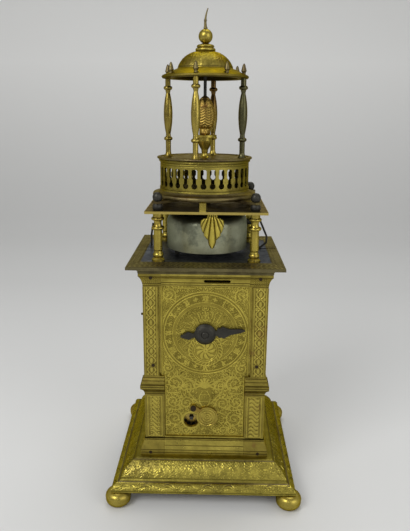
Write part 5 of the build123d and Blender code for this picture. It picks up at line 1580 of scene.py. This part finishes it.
@dataclass
class Cupola:
    """The roof with its engraved dome, the ball with its bent wire, and the carved bird."""

    roof_bottom: float = 307.1
    roof_edge: float = 309.0
    dome_bottom: float = 313.8
    dome_top: float = 325.5
    dome_radius: float = 20.0
    ball_radius: float = 5.0
    ball_centre: float = 335.5
    aside: float = GALLERY_ASIDE
    wire_height: float = 13.7
    bird_shares: tuple[float, ...] = (0, 0.04, 0.16, 0.21, 0.3, 0.48, 0.66, 0.78, 0.88, 0.95, 1.0)
    bird_radii: tuple[float, ...] = (3.3, 3.7, 3.4, 4.6, 5.5, 6.0, 5.7, 5.0, 4.0, 2.7, 1.1)
    figure_bottom: float = 267.6
    figure_height: float = 27.6

    def dome(self) -> Piece:
        """The roof: a wavy pattern of sines of the angle and height stands on its dome."""
        line = sampled([
            (23.85, self.roof_bottom),
            (30.75, self.roof_bottom),
            ((31.35, self.roof_bottom + 0.95), (30.75, self.roof_edge)),
            (self.dome_radius, self.dome_bottom),
            ((self.dome_radius * 0.76, 321.05), (6.7, self.dome_top)),
            (1.0, self.dome_top),
        ], 0.5)
        around = 360
        angle = np.linspace(0, 2 * np.pi, around, endpoint=False)
        up = line[:, 1:]
        curls = 2.2 * np.sin(up * 1.6 + 2 * np.sin(5 * angle))
        leaves = np.clip(np.abs(np.sin(19 * angle + curls)) * 1.5 - 0.5, 0, 1)
        veins = np.clip(np.sin(46 * angle + 3 * np.sin(up * 1.5)) * np.sin(up * 2.4), 0, 1)
        on_dome = np.clip(
            (up - self.dome_bottom - 0.6) / 0.8, 0, 1
        ) * np.clip((self.dome_top - 0.4 - up) / 0.8, 0, 1)
        drawn = (leaves * 0.45 + veins * 0.3) * on_dome
        rim = ((up > self.roof_edge + 0.2) & (up < self.dome_bottom + 0.4)) * 0.85
        loops = turned_loops(line, around, drawn * 0.4)
        drawn = np.maximum(drawn, 0.55 * on_dome)
        # Relief -1 on the roof's underside, and on the inside below, makes the material paint them
        # nearly black as shade.
        drawn = np.where(up < self.roof_bottom + 0.05, -1.0, np.maximum(drawn, rim))
        hollow = self.dome_radius - 1.6
        inside = sampled([
            (1.0, 322.3), (3.35, 322.3), ((hollow * 0.72, 319.88), (hollow, self.dome_bottom)),
            (23.8, self.roof_bottom + 0.02),
        ], 1.0)
        inner = turned_loops(inside, around)
        relief = np.concatenate([drawn, np.full(inner.shape[:2], -1.0)])
        return loft("cupola_dome", self.moved(np.concatenate([loops, inner])), relief, ring=True)

    def moved(self, loops: Array) -> Array:
        """Loops round Z, moved to the gallery's own axis."""
        return loops + np.array([self.aside, 0.0, 0.0])

    def ball(self) -> Piece:
        """The collar with two beads and the ball: circles of height turned about Z."""
        top = self.dome_top
        t = np.linspace(-1.15, 1.27, 30)
        ball = np.stack(
            [self.ball_radius * np.cos(t), self.ball_centre + self.ball_radius * np.sin(t)], -1
        )
        line = np.concatenate([
            sampled([
                (6.7, top - 0.1), ((7.2, top + 1.0), (6.6, top + 2.0)), (5.6, top + 2.3),
                ((6.3, top + 3.3), (5.4, top + 4.3)), (3.6, top + 4.8), (2.6, top + 5.2),
            ], 0.3),
            ball,
        ])
        loops = turned_loops(line, 72)
        return loft("cupola_ball", self.moved(loops))

    def wire(self) -> Piece:
        """The bent wire on the ball: circles along a line whose sideways place is a power of t."""
        t = np.linspace(0, 1, 60)[:, None]
        angle = np.linspace(0, 2 * np.pi, 18, endpoint=False)
        bow = 1.5 * t**2.2 - 0.5 * np.sin(np.pi * t)
        radius = 1.35 - 0.95 * t**0.6 + 0.32 * np.exp(
            -(((t - 0.42) / 0.04) ** 2)
        ) + 0.25 * np.exp(-(((t - 0.06) / 0.05) ** 2))
        up = self.ball_centre + 4.7 + self.wire_height * t
        loops = np.stack([bow + radius * np.cos(angle), radius * np.sin(angle), up + 0 * angle], -1)
        return loft("cupola_wire", self.moved(loops))

    def bird(self) -> Piece:
        """A carved bird with folded wings, as a radius over the angle and the height.

        The radius is the body's profile, plus a swell at each wing, plus rows of feathers that
        are sines of the height and the angle, plus rounded bumps for beak, eyes and tufts.
        """
        rows, around = 150, 150
        share = np.linspace(0, 1, rows)[:, None]
        angle = np.linspace(0, 2 * np.pi, around, endpoint=False)[None, :]
        body = np.interp(share, self.bird_shares, self.bird_radii)
        front = np.abs((angle - 1.5 * np.pi + np.pi) % (2 * np.pi) - np.pi)

        def bump(at: float, high: float, wide: float, tall: float) -> Array:
            """A rounded swell at an angle from the front and a share of the height."""
            return np.exp(-(((front - at) / wide) ** 2) - ((share - high) / tall) ** 2)

        wings = bump(1.45, 0.5, 0.5, 0.2)
        seam = bump(0.85, 0.48, 0.09, 0.2)
        rows_of = np.abs(np.sin(share * 46 + 2.4 * np.abs(np.sin(front * 3))))
        feathers = rows_of * ((share > 0.22) & (share < 0.72))
        radius = (
            body * (1 - 0.12 * np.cos(2 * front)) + 0.75 * wings - 0.5 * seam + 0.34 * feathers
            + 1.5 * bump(0.0, 0.83, 0.16, 0.035) + 0.5 * bump(0.5, 0.87, 0.22, 0.03)
            - 0.45 * bump(0.5, 0.87, 0.1, 0.014) + 0.9 * bump(0.75, 0.945, 0.25, 0.03)
            + 0.7 * bump(0.45, 0.06, 0.3, 0.05) - 0.5 * bump(0.0, 0.1, 0.2, 0.08)
        )
        up = self.figure_bottom + share * self.figure_height + 0 * angle
        loops = np.stack([radius * np.cos(angle), radius * np.sin(angle), up], -1)
        drawn = np.clip(0.55 + feathers * 0.35 + 0.4 * wings - 0.6 * seam, 0, 1)
        return loft("carved_bird", self.moved(loops), np.broadcast_to(drawn, up.shape))

    def build(self, wardrobe: Wardrobe) -> None:
        """Makes the pieces and dresses the columns and finials."""
        wardrobe.piece(self.dome(), "case", AGED_RELIEF, "cupola_roof")
        wardrobe.piece(self.ball(), "case", GILT_PLAIN, "dome_finial")
        wardrobe.piece(self.wire(), "case", AGED)
        wardrobe.piece(self.bird(), "case", CARVED, "carved_figure")
        wardrobe.solid(GILT_COLUMN, "cupola_columns")
        wardrobe.solid(GILT_PLAIN, "figure_pedestal")
        wardrobe.solid(AGED, "cupola_finials")
        wardrobe.solid(IRON, "centre_rod")


@dataclass
class BellStage:
    """The bell with the scallop leaf before it, its pillars, plate and gallery."""

    leaf_x: float = 4.2
    leaf_top: float = 215.5
    leaf_width: float = 16.5
    leaf_height: float = 24.8
    leaf_back: float = -39.2
    lobe_shares: tuple[float, ...] = (
        0, 0.1, 0.125, 0.17, 0.34, 0.5, 0.56, 0.62, 0.7, 0.745, 0.8, 0.9, 0.97, 1,
    )
    lobe_widths: tuple[float, ...] = (
        0.2, 0.22, 0.36, 0.48, 0.5, 0.43, 0.36, 0.35, 0.25, 0.175, 0.17, 0.13, 0.07, 0.02,
    )

    def leaf(self) -> Piece:
        """The scallop leaf: ribs are the cosine of a fan's angle, and the sides curl back.

        Each row is a closed loop, over the front and back over the rear. The half width
        follows the lobes, and the ribs spread from the top.
        """
        rows, half = 90, 60
        down = np.linspace(0, 1, rows)[:, None]
        width = np.interp(down, self.lobe_shares, self.lobe_widths)
        across = np.linspace(-1, 1, half)[None, :]
        fan_turn = across * width * self.leaf_width / (2.2 + down * 9.0)
        ribs = np.abs(np.cos(fan_turn * 5.4)) ** 0.7
        edge = np.sqrt(np.clip(1 - across**2, 0, 1))
        front = self.leaf_back - 0.4 - 1.9 * edge * (0.3 + 0.7 * ribs) * np.clip(down * 8, 0.3, 1)
        x = self.leaf_x + across * width * self.leaf_width
        scallop = 0.5 * edge * np.cos(fan_turn * 5.4) * (down > 0.3)
        z = self.leaf_top - down * self.leaf_height + scallop
        face = np.stack([x, front, z], -1)
        rear = np.stack([x, np.full_like(x, self.leaf_back) - 0.25, z], -1)[:, ::-1]
        relief = np.concatenate(
            [np.clip(ribs * 1.25 - 0.3, 0.1, 1), np.full_like(ribs, 0.5)], axis=1
        )
        return loft("scallop_leaf", np.concatenate([face, rear], axis=1), relief)

    def build(self, wardrobe: Wardrobe) -> None:
        """Makes the leaf and dresses the solids of the stage."""
        wardrobe.piece(self.leaf(), "case", GILT, "leaf_ornament")
        wardrobe.solid(BELL, "bell")
        wardrobe.solid(GILT_PLAIN, "bell_pillars", "front_strap")
        wardrobe.solid(GILT_DRUM, "gallery_drum")
        wardrobe.solid(IRON, "ball_nuts", "bell_wire", "bell_stud", "hammer")
        wardrobe.solid(BLUED_PLATE, "movement_top_plate")
        wardrobe.solid(AGED, "gallery_base_ring", "gallery_bracket", "gallery_top_plate")


@dataclass
class DialWork:
    """The iron hand's domed boss and the ringed face of the shutter."""

    hour_axis: Point = (0.0, 128.4)
    boss_radius: float = 7.8
    boss_back: float = -44.3
    shutter: Point = (2.0, 61.7)
    shutter_radius: float = 8.1
    shutter_front: float = -44.75

    def turned_to_front(self, name: str, line: Array, middle: Point, around: int) -> Piece:
        """A profile of radius and y turned about an axis along Y."""
        angle = np.linspace(0, 2 * np.pi, around, endpoint=False)
        radius, deep = line[:, :1], line[:, 1:]
        loops = np.stack([
            middle[0] + radius * np.cos(angle),
            deep + 0 * angle,
            middle[1] + radius * np.sin(angle),
        ], -1)
        return loft(name, loops)

    def boss(self) -> Piece:
        """A low dome with a collar and a small square-headed pin in the middle."""
        back = self.boss_back
        line = sampled([
            (self.boss_radius, back + 0.1),
            (self.boss_radius + 0.05, back - 0.9),
            (7.1, back - 1.5),
            ((5.4, back - 2.7), (3.1, back - 3.2)),
            (2.7, back - 2.9),
            ((2.0, back - 3.5), (1.0, back - 3.7)),
            (0.1, back - 3.75),
        ], 0.3)
        return self.turned_to_front("hand_boss", line, self.hour_axis, 72)

    def rings(self) -> Piece:
        """The shutter's face: a rim and rings, whose height is a cosine of the radius."""
        front = self.shutter_front
        radius = np.linspace(self.shutter_radius - 0.05, 0.15, 90)
        waves = 0.14 * np.cos(radius * 2 * np.pi / 1.9) + 0.16
        rim = 0.32 * ridge(np.abs(radius - 7.45), 0.7)
        line = np.stack([radius, front - np.maximum(waves, rim)], -1)
        line = np.concatenate([[[self.shutter_radius - 0.04, front + 0.5]], line])
        return self.turned_to_front("shutter_rings", line, self.shutter, 96)

    def build(self, wardrobe: Wardrobe) -> None:
        """Makes both pieces and dresses the hand and the shutter."""
        wardrobe.piece(self.boss(), "hour_hand_group", IRON)
        wardrobe.piece(self.rings(), "shutter_group", GILT_PLAIN)
        wardrobe.solid(IRON, "hour_hand")
        wardrobe.solid(GILT_PLAIN, "shutter_disc")


@dataclass
class Movement:
    """The wheels, barrels, springs and plates inside, which the open door shows."""

    brass: tuple[str, ...] = (
        "going_great_wheel", "going_barrel", "second_wheel", "crown_wheel", "motion_wheel",
        "hour_wheel",
        "strike_great_wheel", "strike_barrel", "pin_wheel", "count_wheel",
    )
    iron: tuple[str, ...] = (
        "back_pivot_plate", "middle_pivot_plate", "front_pivot_plate", "movement_base_plate",
        "potence",
        "balance_cock", "balance",
    )
    steel: tuple[str, ...] = ("verge", "fly")
    dark: tuple[str, ...] = ("going_winding_arbor", "strike_winding_arbor")
    springs: tuple[str, ...] = ("going_mainspring", "strike_mainspring")

    def build(self, wardrobe: Wardrobe) -> None:
        """Dresses every solid of the movement."""
        wardrobe.solid(WHEELS, *self.brass)
        wardrobe.solid(IRON, *self.iron)
        wardrobe.solid(STEEL, *self.steel)
        wardrobe.solid(DARK_STEEL, *self.dark)
        wardrobe.solid(SPRING, *self.springs)


@dataclass
class Studio:
    """The pale floor and backdrop, soft light and the camera at the photograph's angle."""

    focal_pixels: float = 568.65
    image: tuple[int, int] = (410, 531)
    pitch: float = 14.90
    roll: float = 0.515
    yaw: float = 0.973
    place: tuple[float, float, float] = (6.01, -429.61, 282.36)
    backdrop: Colour = (0.72, 0.725, 0.72)
    # Painted light: shares of the backdrop colour for the near floor, the far floor and the wall,
    # darker far off and brighter up the wall.
    painted_light_shares: tuple[float, float, float] = (0.94, 0.8, 1.2)
    lamps: tuple = (
        ("key_lamp", 10.5, 0.7, (-0.75, -0.95, 1.05), (0.0, 0.0, 0.15)),
        ("fill_lamp", 4.6, 0.9, (0.95, -0.9, 0.6), (0.0, 0.0, 0.15)),
        ("top_lamp", 5.6, 0.9, (0.1, 0.5, 1.3), (0.0, 0.0, 0.2)),
    )
    surround: float = 0.42

    def camera(self) -> None:
        """The camera: it turns by the yaw, looks down by the pitch and leans by the roll."""
        data = bpy.data.cameras.new("camera")
        data.sensor_width = 36.0
        data.lens = 36.0 * self.focal_pixels / max(self.image)
        data.clip_start = 0.01
        data.clip_end = 20.0
        camera = bpy.data.objects.new("camera", data)
        bpy.context.scene.collection.objects.link(camera)
        lean, tilt, turn = (math.radians(angle) for angle in (self.roll, self.pitch, self.yaw))
        right = np.array([math.cos(turn), math.sin(turn), 0.0])
        level = np.array([-math.sin(turn), math.cos(turn), 0.0])
        above = np.array([0.0, 0.0, 1.0])
        up = math.sin(tilt) * level + math.cos(tilt) * above
        ahead = math.cos(tilt) * level - math.sin(tilt) * above
        matrix = np.eye(4)
        matrix[:3, 0] = math.cos(lean) * right + math.sin(lean) * up
        matrix[:3, 1] = -math.sin(lean) * right + math.cos(lean) * up
        matrix[:3, 2] = -ahead
        matrix[:3, 3] = np.array(self.place) * METRES
        camera.matrix_world = Matrix(matrix.tolist())
        bpy.context.scene.camera = camera

    def lamp(self, name: str, power: float, size: float, place: tuple, towards: tuple) -> None:
        """One soft square lamp.

        Args:
            name: its name.
            power: its power in watts.
            size: its side in metres.
            place: where it hangs, in metres.
            towards: the point that it shines at.
        """
        data = bpy.data.lights.new(name, "AREA")
        data.energy = power
        data.size = size
        lamp = bpy.data.objects.new(name, data)
        bpy.context.scene.collection.objects.link(lamp)
        away = np.array(place, float) - np.array(towards, float)
        away /= np.linalg.norm(away)
        right = np.cross([0.0, 0.0, 1.0], away)
        right /= np.linalg.norm(right)
        matrix = np.eye(4)
        matrix[:3, :] = np.stack([right, np.cross(away, right), away, place], -1)
        lamp.matrix_world = Matrix(matrix.tolist())

    def floor(self) -> None:
        """A floor that bends up into a wall behind: a profile of a run, a quarter bow and a run."""
        line = sampled(
            [(-2400.0, 0.0), (900.0, 0.0), ((1430.0, 220.0), (1650.0, 750.0)), (1650.0, 2600.0)],
            60.0,
        )
        across = np.linspace(-2600.0, 2600.0, 30)
        points = np.stack([
            np.broadcast_to(across, (len(line), 30)),
            np.repeat(line[:, :1], 30, 1),
            np.repeat(line[:, 1:], 30, 1),
        ], -1).reshape(-1, 3)
        quads = facing_out(points, grid_quads(len(line), 30), np.array([0.0, -0.5, 1.0]))
        made = mesh_piece("studio_floor", points, quads)
        paper = bpy.data.materials.new("pale_paper")
        paper.use_nodes = True
        kit = Nodes(paper.node_tree)
        shader = next(n for n in paper.node_tree.nodes if n.type == "BSDF_PRINCIPLED")
        shader.inputs["Roughness"].default_value = 0.9
        shader.inputs["Specular IOR Level"].default_value = 0.1
        parts = kit.add("ShaderNodeSeparateXYZ")
        kit.put(kit.place(), parts.inputs[0])
        # Painted light: the paper's colour darkens towards the far floor and brightens up the wall.
        near, far, wall = (tuple(share * c for c in self.backdrop) for share in self.painted_light_shares)
        tone = kit.blend(kit.between(parts.outputs[1], 0.05, 0.5), near, far)
        tone = kit.blend(kit.between(parts.outputs[2], 0.02, 0.45), tone, wall)
        kit.put(tone, shader.inputs["Base Color"])
        made.data.materials.append(paper)

    def world(self) -> None:
        """A plain grey surround, at a level at which a colour looks about as it is written."""
        world = bpy.data.worlds.new("surround")
        world.use_nodes = True
        background = next(n for n in world.node_tree.nodes if n.type == "BACKGROUND")
        background.inputs["Color"].default_value = (1.0, 0.99, 0.97, 1.0)
        background.inputs["Strength"].default_value = self.surround
        bpy.context.scene.world = world

    def build(self) -> None:
        """Sets the camera, the lamps, the floor and the view."""
        self.camera()
        self.floor()
        self.world()
        for given in self.lamps:
            self.lamp(*given)
        bpy.context.scene.view_settings.view_transform = "Standard"


def main() -> None:
    """Builds the studio and each sub-assembly in order."""
    logging.basicConfig(level=logging.INFO, format="%(name)s: %(message)s")
    Studio().build()
    wardrobe = Wardrobe()
    for assembly in (Panels(), Posts(), Mouldings(), Cupola(), BellStage(), DialWork(), Movement()):
        assembly.build(wardrobe)
        log.info("finished the %s", type(assembly).__name__.lower())


if __name__ == "__main__":
    main()
